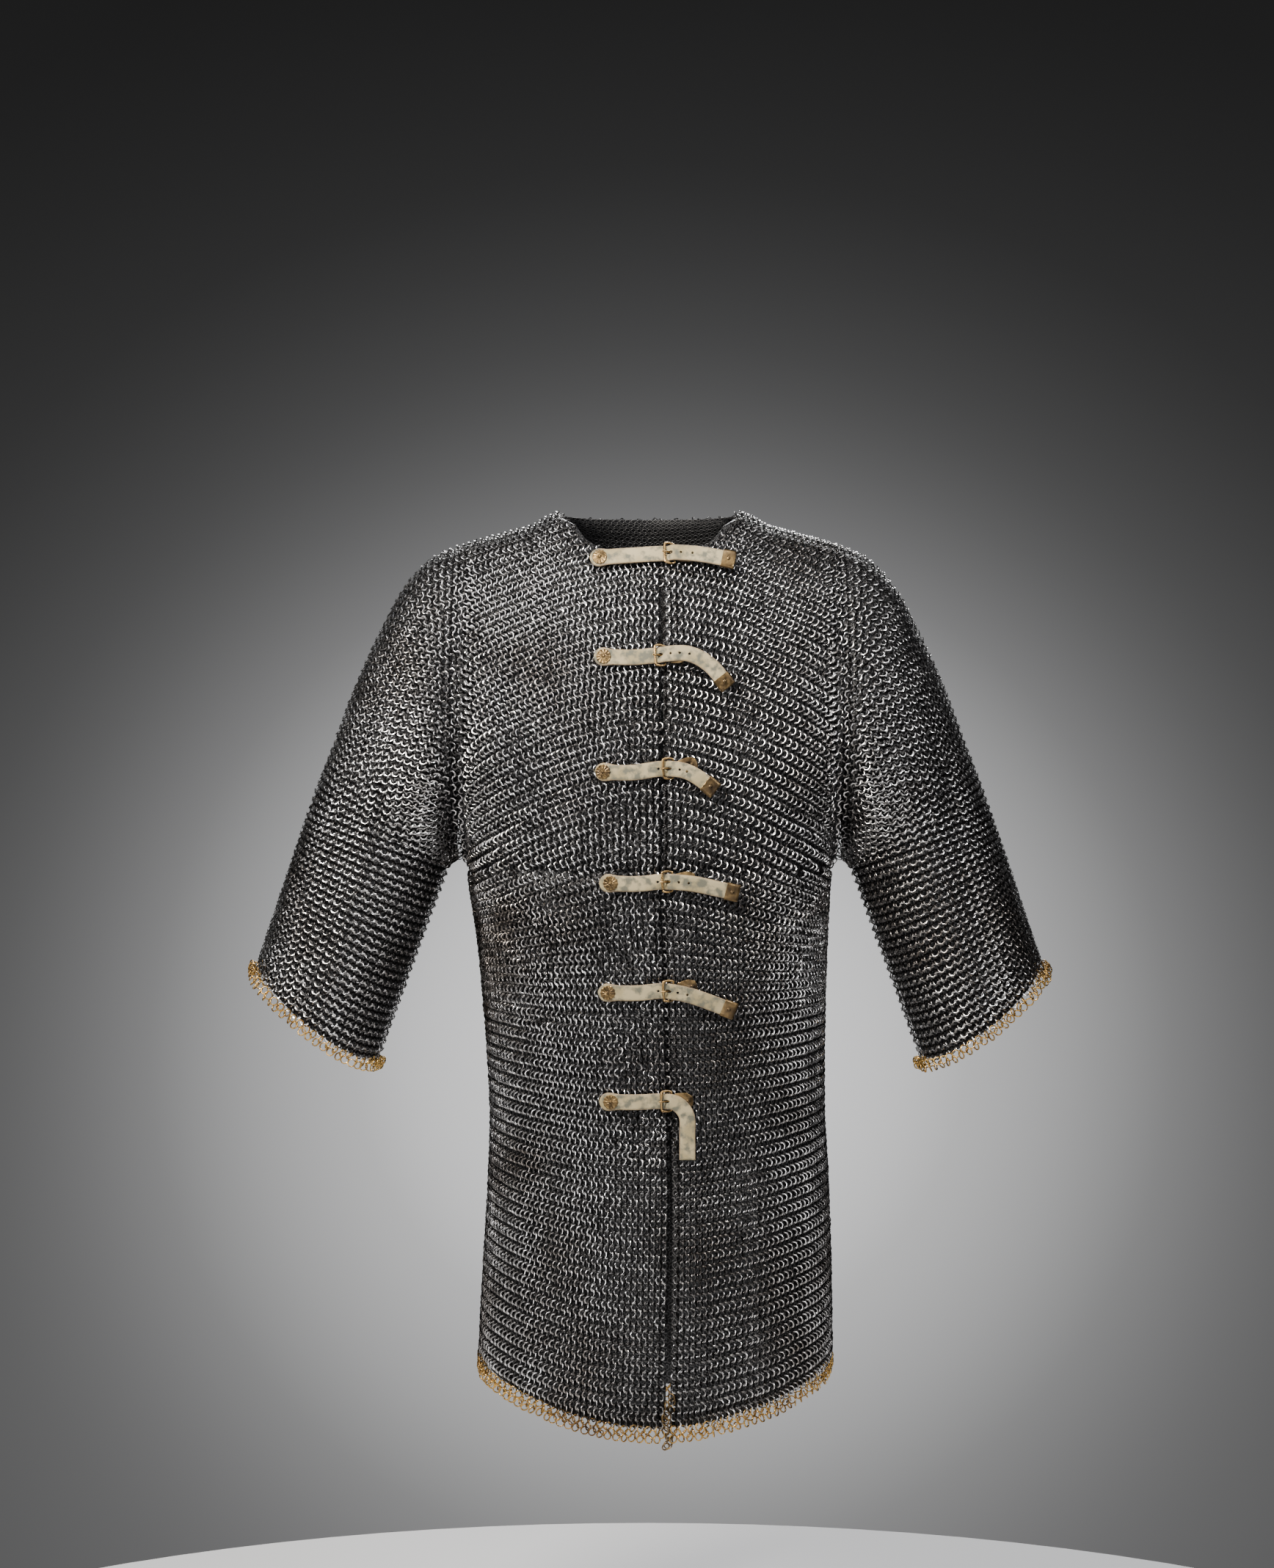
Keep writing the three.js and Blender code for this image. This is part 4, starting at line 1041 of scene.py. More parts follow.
# %% Steel rings of the sleeves
def sleeve_rings(name, side, seed):
    points, along, up, parity = joined([arm_rings(FRONT, side), arm_rings(BACK, side)])
    out = ease((np.abs(points[:, 0]) - ARMHOLE_X) / 60)
    lean = LEAN_TORSO + (LEAN_SLEEVE - LEAN_TORSO) * out
    chance = np.random.RandomState(seed)
    frames = ring_frames(points, along, up, parity, lean, chance, 0 * out)
    return ring_strip_mesh(name, frames, SLEEVE_SEGMENTS)


rings_sleeve_right = sleeve_rings("rings_sleeve_right", -1, 15)
rings_sleeve_left = sleeve_rings("rings_sleeve_left", 1, 16)
print("sleeve ring triangles:", [2 * len(r.data.polygons)
                                 for r in (rings_sleeve_right, rings_sleeve_left)])

# %% [markdown]
# ## Brass borders
# Rows of brass rings finish the hem and the cuffs. They are round wire, hang singly with light
# between them, and turn more freely than the steel, so each is a small torus with a stronger
# wobble. Nothing lies behind them: the shell ends where they begin. A few darker rings hang in a
# tangle at the foot of the opening.

# %% Brass rings
BRASS_RADIUS, BRASS_WIRE = 3.6, 0.7
BRASS_LEAN = math.radians(38)
BRASS_SIDES = 10, 4       # round the ring, and round its wire
# heights of the rows over the edge, rings in a quarter or half of a row, and looseness
HEM_ROWS, HEM_RINGS, HEM_LOOSE = (12.0, 7.9, 3.9), 31, 2.2
CUFF_ROWS, CUFF_RINGS, CUFF_LOOSE = (6.6, 2.6), 27, 2.0
# number of loose rings, lowest and highest, sway to either side, and looseness
LINKS, LINKS_HANG, LINKS_SWAY, LINKS_LOOSE = 18, (-2.5, 40), 3.5, 3.0


def torus_mesh(name, frames, finish, nodes=()):
    """Rings of round wire."""
    centre, first, second, normal, _ = frames
    around, section = BRASS_SIDES
    a = 2 * math.pi * np.arange(around) / around
    b = 2 * math.pi * (np.arange(section) + 0.5) / section
    reach = BRASS_RADIUS + BRASS_WIRE * np.cos(b)
    rise = BRASS_WIRE * np.sin(b)
    x, y = np.outer(np.cos(a), reach), np.outer(np.sin(a), reach)
    points = (centre[:, None, None] + x[None, ..., None] * first[:, None, None]
              + y[None, ..., None] * second[:, None, None]
              + rise[None, None, :, None] * normal[:, None, None])
    i, k = np.meshgrid(np.arange(around), np.arange(section), indexing="ij")
    j, m = (i + 1) % around, (k + 1) % section
    quads = np.stack([section * i + k, section * j + k, section * j + m, section * i + m], -1)
    faces = quads.reshape(1, -1, 4) + (around * section * np.arange(len(centre)))[:, None, None]
    return array_mesh(name, points.reshape(-1, 3), faces.reshape(-1, 4), finish, nodes)


def hem_rings(name, face, sides, keep, nodes, seed):
    """Rows of brass rings that hang below the last steel row, at heights over the hem."""
    chance = np.random.RandomState(seed)
    parts = []
    for side in sides:
        for row, above in enumerate(HEM_ROWS):
            parity = bool((row + LOWER_ROWS + 1) % 2)
            q = side * (np.arange(HEM_RINGS) + row_offset(face, side, parity)) / HEM_RINGS

            def place(q, lift):
                return torso_point(face, q, hem_height(q) + above + lift)

            points = place(q, 0)
            along = (place(q + NUDGE, 0) - place(q - NUDGE, 0)) * -face
            up = place(q, 1) - place(q, -1)
            chosen = keep(q, points)
            parts.append([part[chosen] for part in
                          (points, along, up, np.full(HEM_RINGS, parity))])
    points, along, up, parity = joined(parts)
    loose = np.full(len(points), HEM_LOOSE)
    frames = ring_frames(points, along, up, parity, BRASS_LEAN, chance, loose)
    return torus_mesh(name, frames, ring_brass, nodes)


def cuff_rings(name, side, nodes, seed):
    """Rows of brass rings round a cuff, at heights over its edge."""
    chance = np.random.RandomState(seed)
    parts = []
    for face in (FRONT, BACK):
        for row, above in enumerate(CUFF_ROWS):
            line = sleeve_strip(side, face, above)[-1]
            inward = line - sleeve_strip(side, face, above + 2)[-1]
            run = lengths(line)
            want = (np.arange(CUFF_RINGS) + (0.25, 0.75)[row]) / CUFF_RINGS * run[-1]
            along = at_lengths(want + 1, run, line) - at_lengths(want - 1, run, line)
            parts.append([at_lengths(want, run, line), along * side * face,
                          -at_lengths(want, run, inward), np.full(CUFF_RINGS, bool(row))])
    points, along, up, parity = joined(parts)
    loose = np.full(len(points), CUFF_LOOSE)
    frames = ring_frames(points, along, up, parity, BRASS_LEAN, chance, loose)
    return torus_mesh(name, frames, ring_brass, nodes)


def loose_links(name, seed):
    """A tangle of rings that hangs where the opening ends."""
    chance = np.random.RandomState(seed)
    lift = np.linspace(*LINKS_HANG, LINKS)
    x = OPENING_X + chance.uniform(-LINKS_SWAY, LINKS_SWAY, LINKS)
    points = torso_point(FRONT, x / PLAN_LENGTH, hem_height(x / PLAN_LENGTH) + lift)
    along = np.tile((1.0, 0.0, 0.0), (LINKS, 1))
    up = np.tile((0.0, 0.0, 1.0), (LINKS, 1))
    parity = np.arange(LINKS) % 2 == 1
    loose = np.full(LINKS, LINKS_LOOSE)
    frames = ring_frames(points, along, up, parity, BRASS_LEAN, chance, loose)
    return torus_mesh(name, frames, dark_brass)


brass_links_opening = loose_links("brass_links_opening", 26)
brass_hem_front_right = hem_rings("brass_hem_front_right", FRONT, (-1, 1), right_of_opening,
                                  ["hem_border_front_right"], 21)
brass_hem_front_left = hem_rings("brass_hem_front_left", FRONT, (1,), left_of_opening,
                                 ["hem_border_front_left"], 22)
brass_hem_back = hem_rings("brass_hem_back", BACK, (-1, 1), all_round, ["hem_border_back"], 23)
brass_cuff_right = cuff_rings("brass_cuff_right", -1, ["cuff_border_right"], 24)
brass_cuff_left = cuff_rings("brass_cuff_left", 1, ["cuff_border_left"], 25)
print("brass hem and cuff triangles:", sum(2 * len(o.data.polygons) for o in (
    brass_hem_front_right, brass_hem_front_left, brass_hem_back, brass_cuff_right,
    brass_cuff_left)))

# %% [markdown]
# ## Closures
# Six leather straps bridge the opening. Each is riveted to the right front under a fluted
# brass rosette, runs through a brass buckle whose tongue pierces it, and ends in a folded brass
# tip. All of it is modelled flat, as a saddler would cut it, with distance along the strap,
# distance across it and height over the mail. One function then lays every point on the curved
# front, so that leather and brass bend together and stay true to size.

# %% Dimensions of the closures
STRAP_WIDTH, STRAP_THICK, STRAP_ROOT = 14.0, 2.2, 8.2
ROSETTE_RADIUS, ROSETTE_HEIGHT, ROSETTE_FLUTES = 6.5, 1.7, 12
BUCKLE_LENGTH, BUCKLE_WIDTH, ROD = 9.5, 20.5, 1.05
LEAF_LENGTH, LEAF_WIDTH, LEAF_THICK, LEAF_GAP, LEAF_REST = 17.0, 14.5, 0.9, 1.2, 0.45
CHAPE_LENGTH, CHAPE_WALL, CHAPE_ROOM = 11.0, 0.6, 0.35
HOLE_RADIUS, RIVET_RADIUS = 1.1, 1.7
SLOT_AT, SLOT_RADIUS, SLOT_STRETCH = 4.6, 1.5, 1.9      # the hole that the tongue passes through
REST = 0.6                # gap between the mail and a strap that lies on it
CLIMB_FROM, CLIMB_RUN, CLIMB = 2.4, 4.6, 2.7      # past the outer bar, over the hinge bar
FREE_FROM = 14            # past the outer bar, where the strap's end begins to stand off
STRAP_STEP = 1.6
LEAST_WIDTH = 1.2         # half width at the very tip of the root
CLOSURES = [
    {"line": [(-54, -33.5), (-16, -31), (14, -29.5), (40, -31), (75, -38.5)],
     "root": -45.5, "bar": 13, "tilt": 0, "holes": (27.5, 38), "lift": 5},
    {"line": [(-50, -123), (-16, -124), (5, -122.5), (34, -121.5), (52, -131), (69, -151)],
     "root": -41.8, "bar": 4, "tilt": 0.1, "holes": (18, 26, 35), "lift": 4},
    {"line": [(-49, -226), (-16, -227), (12, -223.5), (32, -226), (46, -234), (57, -243)],
     "root": -41.8, "bar": 11.5, "tilt": 0.35, "holes": (7.5, 26, 32.5), "lift": 3},
    {"line": [(-45, -325), (-12, -326), (12, -324), (36, -325.5), (58, -330), (77, -334.5)],
     "root": -35.2, "bar": 10.5, "tilt": 0.2, "holes": (6.5, 25, 34), "lift": 2},
    {"line": [(-46, -423), (-12, -423.5), (14, -421.5), (34, -425), (54, -432), (74, -440)],
     "root": -37.8, "bar": 11.5, "tilt": 0.3, "holes": (7, 24.5, 33), "lift": 2},
    {"line": [(-45, -521), (-12, -521.5), (10, -520.5), (23, -522), (32, -532), (33, -552),
              (33, -573)],
     "root": -35.2, "bar": 10, "tilt": 0, "holes": (), "lift": 2.5}]
print("closures:", len(CLOSURES))


# %% Where a closure lies
def front_depth(x, z):
    """Depth of the frame's front at a place of its front view, for what lies on it."""
    out = np.abs(x)
    tip = through(SHOULDER, out, 1, None, SHOULDER_SLOPE)
    s = np.clip((z - ARMPIT_Z) / (tip - ARMPIT_Z), 0, 1)
    inside = np.minimum(1, out / ARMPIT_X) ** PLAN_ROUNDNESS
    foot = TORSO[0][2] * (1 - inside) ** (1 / PLAN_ROUNDNESS)
    chest = CHEST_DEPTH[0] + (CHEST_DEPTH[1] - CHEST_DEPTH[0]) * (out / ARMHOLE_X) ** 2
    rise = np.sin(math.pi / 2 * np.minimum(1, s / RISE)) ** PINCH[0]
    upper = (1 - s**FRONT_ROUNDNESS) ** (1 / FRONT_ROUNDNESS) * (foot + (chest - foot) * rise)
    drop = np.maximum(0, ARMPIT_Z - z)
    share = np.minimum(1, np.abs(x - through(TORSO, drop, 3, 0)) / through(TORSO, drop, 1))
    plan = (1 - share**PLAN_ROUNDNESS) ** (1 / PLAN_ROUNDNESS)
    lower = through(TORSO, drop, 2, 0) * plan
    return -(np.where(z >= ARMPIT_Z, upper, lower) - fold_depth(FRONT, x, z, tuple(FOLDS)))


def on_front(x, z, height):
    """Points at heights over the mail, square to the front's surface."""
    slope_x = (front_depth(x + 1, z) - front_depth(x - 1, z)) / 2
    slope_z = (front_depth(x, z + 1) - front_depth(x, z - 1)) / 2
    normal = unit(np.stack([slope_x, -np.ones_like(slope_x), slope_z], -1))
    return np.stack([x, front_depth(x, z), z], -1) + normal * height[:, None]


def smooth_line(points, fine=60):
    """Centripetal curve through points, as dense points."""
    points = np.array(points, dtype=float)
    ends = [2 * points[0] - points[1], 2 * points[-1] - points[-2]]
    knots = np.vstack([ends[0], points, ends[1]])
    w = np.linspace(0, 1, fine, endpoint=False)[:, None]
    made = []
    for a, b, c, d in zip(knots, knots[1:], knots[2:], knots[3:]):
        da, db, dc = (np.linalg.norm(q - p) ** 0.5 for p, q in ((a, b), (b, c), (c, d)))
        start = ((b - a) / da - (c - a) / (da + db) + (c - b) / db) * db
        end = ((c - b) / db - (d - b) / (db + dc) + (d - c) / dc) * db
        made.append((2 * w**3 - 3 * w**2 + 1) * b + (w**3 - 2 * w**2 + w) * start
                    + (3 * w**2 - 2 * w**3) * c + (w**3 - w**2) * end)
    return np.vstack([*made, points[-1:]])


class Lay:
    """A closure's own space: along the strap, across it, and height over the mail."""

    def __init__(self, line, bar, lift):
        self.line = smooth_line(line)
        self.run = lengths(self.line)
        self.length = self.run[-1]
        self.lift = lift
        self.bar = self.along_at(bar)

    def along_at(self, x):
        return self.run[int(np.argmax(self.line[:, 0] >= x))]

    def under(self, along):
        """Height of the strap's underside: flat, over the hinge bar, then off the mail."""
        past = along - self.bar
        free = np.clip((past - FREE_FROM) / (self.length - self.bar - FREE_FROM), 0, 1)
        climbed = CLIMB * ease((past - CLIMB_FROM) / CLIMB_RUN)
        return REST + climbed + (self.lift - 1.5) * ease(free)

    def place(self, points):
        """Lays flat points on the front."""
        along, across, height = np.asarray(points, dtype=float).T
        held = np.clip(along, 0, self.length)
        centre = at_lengths(held, self.run, self.line)
        ahead = at_lengths(held + 0.5, self.run, self.line)
        behind = at_lengths(held - 0.5, self.run, self.line)
        tangent = unit(ahead - behind)
        centre = centre + tangent * (along - held)[:, None]
        return on_front(centre[:, 0] - tangent[:, 1] * across,
                        centre[:, 1] + tangent[:, 0] * across, height)


def levelled(closure):
    """The closure with its strap running on level, for what is fixed to the left front."""
    x, z = next(point for point in closure["line"] if point[0] >= closure["bar"] - 3)
    line = closure["line"][:2] + [(x, z), (x + 30, z), (x + 60, z)]
    return Lay(line, closure["bar"], closure["lift"])


lays = [Lay(c["line"], c["bar"], c["lift"]) for c in CLOSURES]
level_lays = [levelled(c) for c in CLOSURES]
print("strap lengths in mm:", [round(lay.length) for lay in lays])

# %% [markdown]
# ## Leather
# The straps are old buff leather: pale, dry, with dark stains from the metal under them and
# handled, darker edges. Three noises of different size give broad blotches, smaller stains and
# pores, and the edges are found from the strap's own UV map. Painting a picture of the leather
# would also work, but noise has no seam and stays sharp however close the camera comes.

# %% Finish of the leather
def buff_leather():
    material, shader = new_material("stained_buff_leather")
    links = material.node_tree.links
    place = node(material, "ShaderNodeUVMap", uv_map="strap").outputs[0]
    split = node(material, "ShaderNodeSeparateXYZ", [("Vector", place)])
    stains = spread(material, object_noise(material, 130.0, 5.0), 0.0, 1.0, 0.45, 0.60)
    blotches = spread(material, object_noise(material, 45.0, 3.0), 0.0, 1.0, 0.45, 0.62)
    pores = object_noise(material, 2600.0, 3.0)
    edge = spread(material, split.outputs["Y"], 0.0, 1.0, 0.8, 1.0)
    hide = blend(material, blotches, (0.34, 0.28, 0.16), (0.25, 0.20, 0.10))
    stained = blend(material, stains, hide, (0.10, 0.095, 0.065))
    faded = spread(material, edge, 0.0, 0.7, 0.0, 1.0)
    worn = blend(material, faded, stained, (0.20, 0.13, 0.07))
    links.new(worn, shader.inputs["Base Color"])
    links.new(spread(material, pores, 0.55, 0.85), shader.inputs["Roughness"])
    shader.inputs["Sheen Weight"].default_value = 0.15
    bump = node(material, "ShaderNodeBump", [("Strength", 0.5), ("Distance", 0.0002),
                                             ("Height", pores)])
    links.new(bump.outputs[0], shader.inputs["Normal"])
    return material


leather = buff_leather()
print("leather:", leather.name)

# %% Flat shapes: lofts, tubes and domes
def loft(loops, closed=False):
    """Points and faces through loops with equal numbers of points, capped unless closed."""
    count = len(loops[0])
    points = [tuple(p) for loop in loops for p in loop]
    faces = []
    spans = len(loops) if closed else len(loops) - 1
    for i in range(spans):
        a, b = i * count, (i + 1) % len(loops) * count
        for j in range(count):
            k = (j + 1) % count
            faces.append((a + j, a + k, b + k, b + j))
    if not closed:
        faces.append(tuple(range(count))[::-1])
        faces.append(tuple(range(len(points) - count, len(points))))
    return points, faces


def rod_loops(path, radii, sides, closed=False):
    """Round sections along a path of (along, across, height)."""
    path = np.array(path, dtype=float)
    if closed:
        tangent = np.roll(path, -1, axis=0) - np.roll(path, 1, axis=0)
    else:
        tangent = np.gradient(path, axis=0)
    tangent = unit(tangent)
    side = unit(np.cross(tangent, (0.0, 0.0, 1.0)))
    top = np.cross(side, tangent)
    angle = 2 * math.pi * np.arange(sides) / sides
    radii = np.broadcast_to(radii, len(path))
    cosine, sine = np.cos(angle), np.sin(angle)
    return [path[i] + radii[i] * (np.outer(cosine, side[i]) + np.outer(sine, top[i]))
            for i in range(len(path))]


def dome(profile, around, flutes=0, flute=0.0):
    """A turned shape from (radius, height) points, its middle at 0, 0."""
    angle = 2 * math.pi * np.arange(around) / around
    ripple = np.cos(flutes * angle)
    loops = []
    for radius, height in profile:
        reach = radius * (1 + flute * ripple)
        lift = height + (0.16 * ripple if flutes and 0 < radius else 0) * (radius > 1)
        loops.append(np.stack([reach * np.cos(angle), reach * np.sin(angle),
                               np.broadcast_to(lift, around)], -1))
    return loft(loops)


def laid_piece(name, lay, points, faces, finish, nodes):
    """A piece modelled flat and laid on the front."""
    return mesh_piece(name, lay.place(points), faces, finish, nodes)


print("flat shapes ready")

# %% Leather straps
def root_width(along):
    """Half width of the round root at a distance along the strap."""
    return math.sqrt(max(0, STRAP_ROOT**2 - (STRAP_ROOT - along) ** 2))


def strap_section(lay, along, grow=0.0):
    """Rounded section of a strap, as points of (along, across, height)."""
    rooted = root_width(along) if along < STRAP_ROOT else STRAP_ROOT
    half = rooted + (STRAP_WIDTH / 2 - rooted) * float(ease((along - STRAP_ROOT) / 10))
    half = max(LEAST_WIDTH, half) + grow
    low = float(lay.under(np.array(along))) - grow
    high = low + STRAP_THICK + 2 * grow
    across = np.linspace(-1, 1, 9)
    crown = [(a * (half - 0.5), high - 0.25 * abs(a) ** 6) for a in across]
    sole = [(a * (half - 0.5), low + 0.25 * abs(a) ** 6) for a in across[::-2]]
    sides = [(half, (low + high) / 2 + 0.45), (half, (low + high) / 2 - 0.45)]
    ring = crown + sides + sole + [(-a, h) for a, h in sides[::-1]]
    return [(along, a, h) for a, h in ring]


def strap_stops(lay):
    """Distances along a strap, closer together round its root."""
    root = STRAP_ROOT * (1 - np.cos(np.linspace(0, math.pi / 2, 8)))
    rest = np.linspace(STRAP_ROOT, lay.length, int((lay.length - STRAP_ROOT) / STRAP_STEP))
    stops = np.concatenate([root[:-1], rest])
    stops = stops[(stops > 0.2) & (stops < lay.length - 0.2)]
    return [0, *stops, lay.length]


def punched(thing, pins):
    """Cuts closed pins, given as flat meshes, out of a flat mesh."""
    for points, faces in pins:
        mesh = bpy.data.meshes.new("pin")
        mesh.from_pydata([tuple(p) for p in points], [], faces)
        pin = bpy.data.objects.new("pin", mesh)
        bpy.context.scene.collection.objects.link(pin)
        cut = thing.modifiers.new("cut", "BOOLEAN")
        cut.operation = "DIFFERENCE"
        cut.object = pin
        with_modifiers_applied(thing)
        bpy.data.objects.remove(pin)


def pin_shape(along, radius, stretch):
    angle = 2 * math.pi * np.arange(12) / 12
    return loft([[(along + stretch * radius * math.cos(a), radius * math.sin(a), height)
                  for a in angle] for height in (-4, 16)])


def leather_strap(number, lay, closure):
    """A strap made flat in millimetres, punched, given its map, and then laid on the front."""
    loops = [strap_section(lay, along) for along in strap_stops(lay)]
    points, faces = loft(loops)
    thing = mesh_piece(f"leather_strap_{number}", np.array(points) / MM, faces, leather,
                       [f"strap_{number}"])
    pins = [pin_shape(lay.along_at(x), HOLE_RADIUS, 1) for x in closure["holes"]]
    pins.append(pin_shape(lay.bar + SLOT_AT, SLOT_RADIUS, SLOT_STRETCH))
    punched(thing, pins)
    mesh = thing.data
    flat = np.empty(3 * len(mesh.vertices))
    mesh.vertices.foreach_get("co", flat)
    flat = flat.reshape(-1, 3)
    width = np.array([STRAP_WIDTH / 2 if a > STRAP_ROOT else max(LEAST_WIDTH, root_width(a))
                      for a in flat[:, 0]])
    give_map(mesh, "strap", np.stack([flat[:, 0] / lay.length, np.abs(flat[:, 1]) / width], -1))
    mesh.vertices.foreach_set("co", (lay.place(flat) * MM).ravel())
    mesh.update()
    return thing


straps = [leather_strap(i + 1, lay, closure) for i, (lay, closure) in
          enumerate(zip(lays, CLOSURES))]
print("strap triangles:", [sum(len(p.vertices) - 2 for p in s.data.polygons) for s in straps])

# %% [markdown]
# ## Brass fittings
# The fittings are cast and filed, so nothing on them is sharp. The rosette is a low fluted dome
# with a raised rim, the buckle a round rod bent to a rectangle, higher where the strap passes
# under its outer bar, and the tongue a tapered rod that starts round the hinge bar. The folded
# tip is a flat pocket over the leather's end, held by a rivet, and a leaf behind the strap holds
# each buckle to the mail. Buckles and tongues are rubbed bright; the rest has darkened with age.

# %% Rosettes
def rosette(number, lay, closure):
    r, h = ROSETTE_RADIUS, ROSETTE_HEIGHT
    profile = [(r, 0), (r, 0.5), (0.96 * r, 0.8), (0.86 * r, 0.85), (0.8 * r, 0.7),
               (0.55 * r, 0.95 * h), (0.3 * r, 0.8 * h), (0.22 * r, 0.75 * h), (0.2 * r, 1.1 * h),
               (0.1 * r, 1.3 * h), (0.02 * r, 1.35 * h)]
    points, faces = dome(profile, 6 * ROSETTE_FLUTES, ROSETTE_FLUTES, 0.035)
    points = np.array(points)
    along = lay.along_at(closure["root"])
    points[:, 0] += along
    points[:, 2] += lay.under(points[:, 0]) + STRAP_THICK
    return laid_piece(f"brass_rosette_{number}", lay, points, faces, dark_brass,
                      [f"rosette_{number}"])


rosettes = [rosette(i + 1, lay, closure) for i, (lay, closure) in
            enumerate(zip(lays, CLOSURES))]
print("rosettes:", len(rosettes))

# %% Buckles and tongues
SEAM = 0.3
BAR_HEIGHT = REST + STRAP_THICK + SEAM + ROD + 0.15
HINGE_HEIGHT = ROD + 0.4


def buckle(number, lay):
    """A rod bent to a rounded rectangle, thicker at its outer bar."""
    angle = 2 * math.pi * np.arange(72) / 72
    cosine, sine = np.cos(angle), np.sin(angle)
    square = np.maximum(np.abs(cosine), np.abs(sine)) ** 0.72
    along = cosine / square * BUCKLE_LENGTH / 2
    height = BAR_HEIGHT + (HINGE_HEIGHT - BAR_HEIGHT) * ease(along / BUCKLE_LENGTH + 0.5)
    path = np.stack([lay.bar + BUCKLE_LENGTH / 2 + along,
                     sine / square * (BUCKLE_WIDTH / 2 - ROD), height], -1)
    radii = ROD * (1 - 0.12 * ease(along / BUCKLE_LENGTH + 0.5))
    points, faces = loft(rod_loops(path, radii, 12, closed=True), closed=True)
    return laid_piece(f"brass_buckle_{number}", lay, points, faces, fitting_brass,
                      [f"buckle_{number}"])


def tongue(number, lay):
    """A tapered rod from a loop round the hinge bar, through the leather, over the outer bar."""
    hinge = lay.bar + BUCKLE_LENGTH
    turns = np.linspace(-0.35 * math.pi, 0.85 * math.pi, 9)
    loop = [(hinge + 1.75 * math.cos(a), HINGE_HEIGHT + 1.75 * math.sin(a)) for a in turns]
    route = loop + [(hinge - 4, 2.6), (hinge - 6, 4.4),
                    (lay.bar + 0.8, BAR_HEIGHT + 1.95 * ROD + 0.1),
                    (lay.bar - 2.2, BAR_HEIGHT + 1.8 * ROD)]
    path = smooth_line(route, 6)
    path = np.stack([path[:, 0], 0 * path[:, 0], path[:, 1]], -1)
    radii = 0.85 - 0.3 * np.linspace(0, 1, len(path)) ** 3
    points, faces = loft(rod_loops(path, radii, 10))
    return laid_piece(f"brass_tongue_{number}", lay, points, faces, fitting_brass,
                      [f"tongue_{number}"])


buckles = [buckle(i + 1, lay) for i, lay in enumerate(level_lays)]
tongues = [tongue(i + 1, lay) for i, lay in enumerate(level_lays)]
print("buckles and tongues:", len(buckles) + len(tongues))

# %% Tips and leaves
def rivet(along, base):
    """A low rivet head on the middle line."""
    r = RIVET_RADIUS
    profile = [(r, base), (r, base + 0.35), (0.8 * r, base + 0.75), (0.4 * r, base + 1.0),
               (0.05 * r, base + 1.05)]
    points, faces = dome(profile, 20)
    return np.array(points) + (along, 0, 0), faces


def together(shapes):
    """Several flat shapes as one."""
    points, faces = [], []
    for some_points, some_faces in shapes:
        base = len(points)
        points.extend(tuple(p) for p in some_points)
        faces.extend(tuple(base + i for i in face) for face in some_faces)
    return points, faces


def chape(number, lay):
    """A folded tip: a pocket of thin brass over the strap's end, with a rivet."""
    start = lay.length - CHAPE_LENGTH
    end = lay.length + CHAPE_WALL + CHAPE_ROOM
    outside = [strap_section(lay, a, CHAPE_ROOM + CHAPE_WALL) for a in
               (start, start + 0.3, *np.linspace(start + 2, end - 0.6, 6))]
    closing = strap_section(lay, end, CHAPE_ROOM + 0.3 * CHAPE_WALL)
    inside = [strap_section(lay, a, CHAPE_ROOM) for a in
              (lay.length + CHAPE_ROOM, *np.linspace(lay.length - 1, start, 5))]
    pocket = loft(inside + outside + [closing])
    base = float(lay.under(np.array(start + 5))) + STRAP_THICK + CHAPE_ROOM + CHAPE_WALL - 0.1
    head = rivet(start + CHAPE_LENGTH / 2, base)
    points, faces = together([pocket, head])
    return laid_piece(f"brass_tip_{number}", lay, points, faces, dark_brass,
                      [f"chape_{number}"])


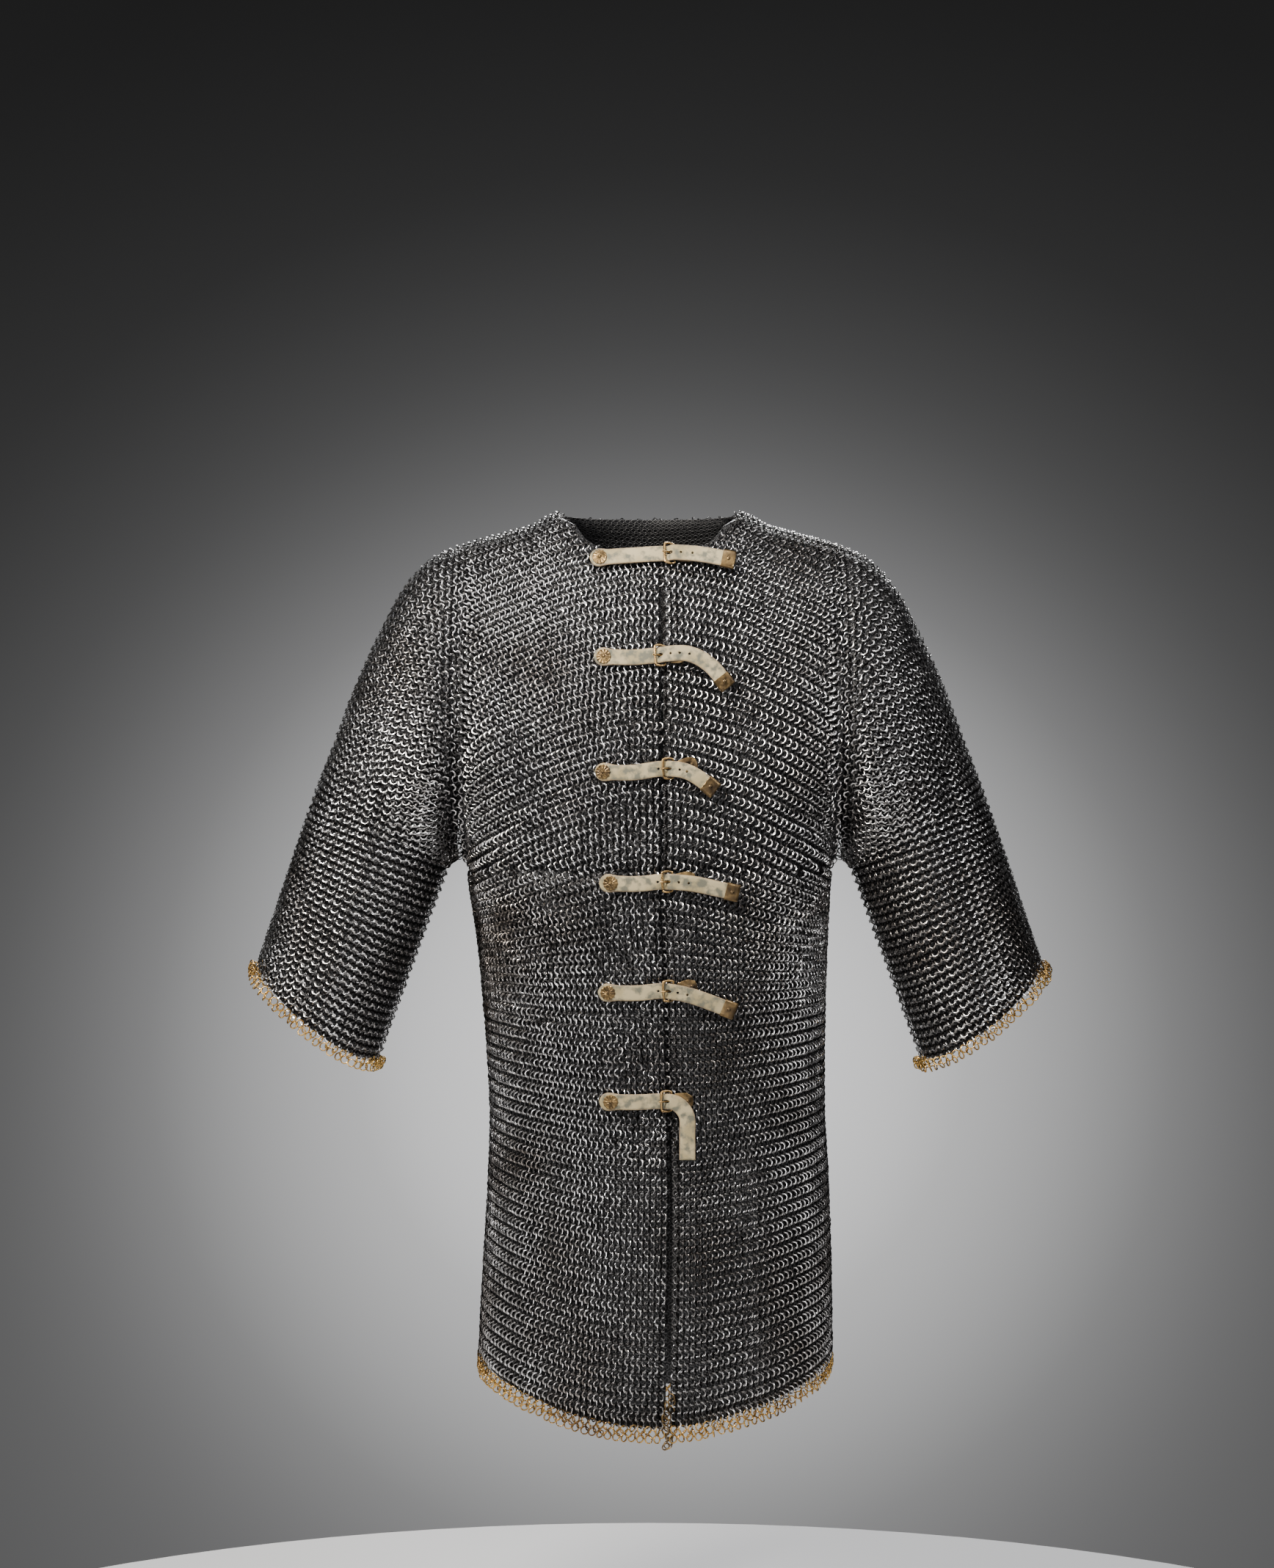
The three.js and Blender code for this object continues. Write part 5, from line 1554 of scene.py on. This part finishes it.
def leaf(number, lay, closure):
    """A dark brass leaf behind the strap, narrower at its far end, with a rivet."""
    tilt = closure["tilt"]
    start = lay.bar + BUCKLE_LENGTH + ROD + LEAF_GAP + LEAF_WIDTH / 2 * math.sin(tilt)
    loops = []
    for height, inset in ((LEAF_REST, 0.3), (LEAF_REST + 0.2, 0),
                          (LEAF_REST + LEAF_THICK - 0.25, 0), (LEAF_REST + LEAF_THICK, 0.35)):
        loop = []
        for a in 2 * math.pi * np.arange(40) / 40:
            square = max(abs(math.cos(a)), abs(math.sin(a))) ** 0.8
            x, y = math.cos(a) / square, math.sin(a) / square
            taper = 1 - 0.35 * float(ease(((x + 1) / 2 - 0.6) / 0.4))
            loop.append(((LEAF_LENGTH / 2 - inset) * x + LEAF_LENGTH / 2,
                         (LEAF_WIDTH / 2 - inset) * y * taper, height))
        loops.append(loop)
    shape = loft(loops)
    head = rivet(0.72 * LEAF_LENGTH, LEAF_REST - 0.1 + LEAF_THICK)
    points, faces = together([shape, head])
    points = np.array(points)
    x, y = points[:, 0].copy(), points[:, 1].copy()
    points[:, 0] = start + x * math.cos(tilt) - y * math.sin(tilt)
    points[:, 1] = x * math.sin(tilt) + y * math.cos(tilt)
    return laid_piece(f"brass_leaf_{number}", lay, points, faces, dark_brass,
                      [f"plate_{number}"])


tips = [chape(i + 1, lay) for i, lay in enumerate(lays[:-1])]
leaves = [leaf(i + 1, lay, closure) for i, (lay, closure) in
          enumerate(zip(level_lays, CLOSURES))]
print("tips and leaves:", len(tips) + len(leaves))

# %% [markdown]
# ## Sheets of mail and triangles
# Each shell is listed with the sheet of mail that it stands for, with the cut that was linked up
# before it hung on anyone, and with the rings that go with it. The area of each shell and the
# number of triangles added are then printed.

# %% Sheets of mail
SHEETS = [
    (shell_front_right, (0.250, 0.850), 0.185,
     [rings_front_right, brass_hem_front_right, brass_links_opening]),
    (shell_front_left, (0.230, 0.850), 0.165, [rings_front_left, brass_hem_front_left]),
    (shell_back, (0.470, 0.850), 0.350, [rings_back_right, rings_back_left, brass_hem_back]),
    (shell_sleeve_right, (0.430, 0.330), 0.139, [rings_sleeve_right, brass_cuff_right]),
    (shell_sleeve_left, (0.430, 0.330), 0.139, [rings_sleeve_left, brass_cuff_left])]
for sheet, flat, area, rings in SHEETS:
    wall_area = sum(p.area for p in sheet.data.polygons)
    print(sheet.name, "measures", round(wall_area / 2, 3), "square metres")

added = [o for o in bpy.context.scene.objects
         if o.type == "MESH" and "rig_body" in o and "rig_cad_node" not in o]
triangles = sum(len(p.vertices) - 2 for o in added for p in o.data.polygons)
print("triangles added:", triangles, "in", len(added), "pieces")
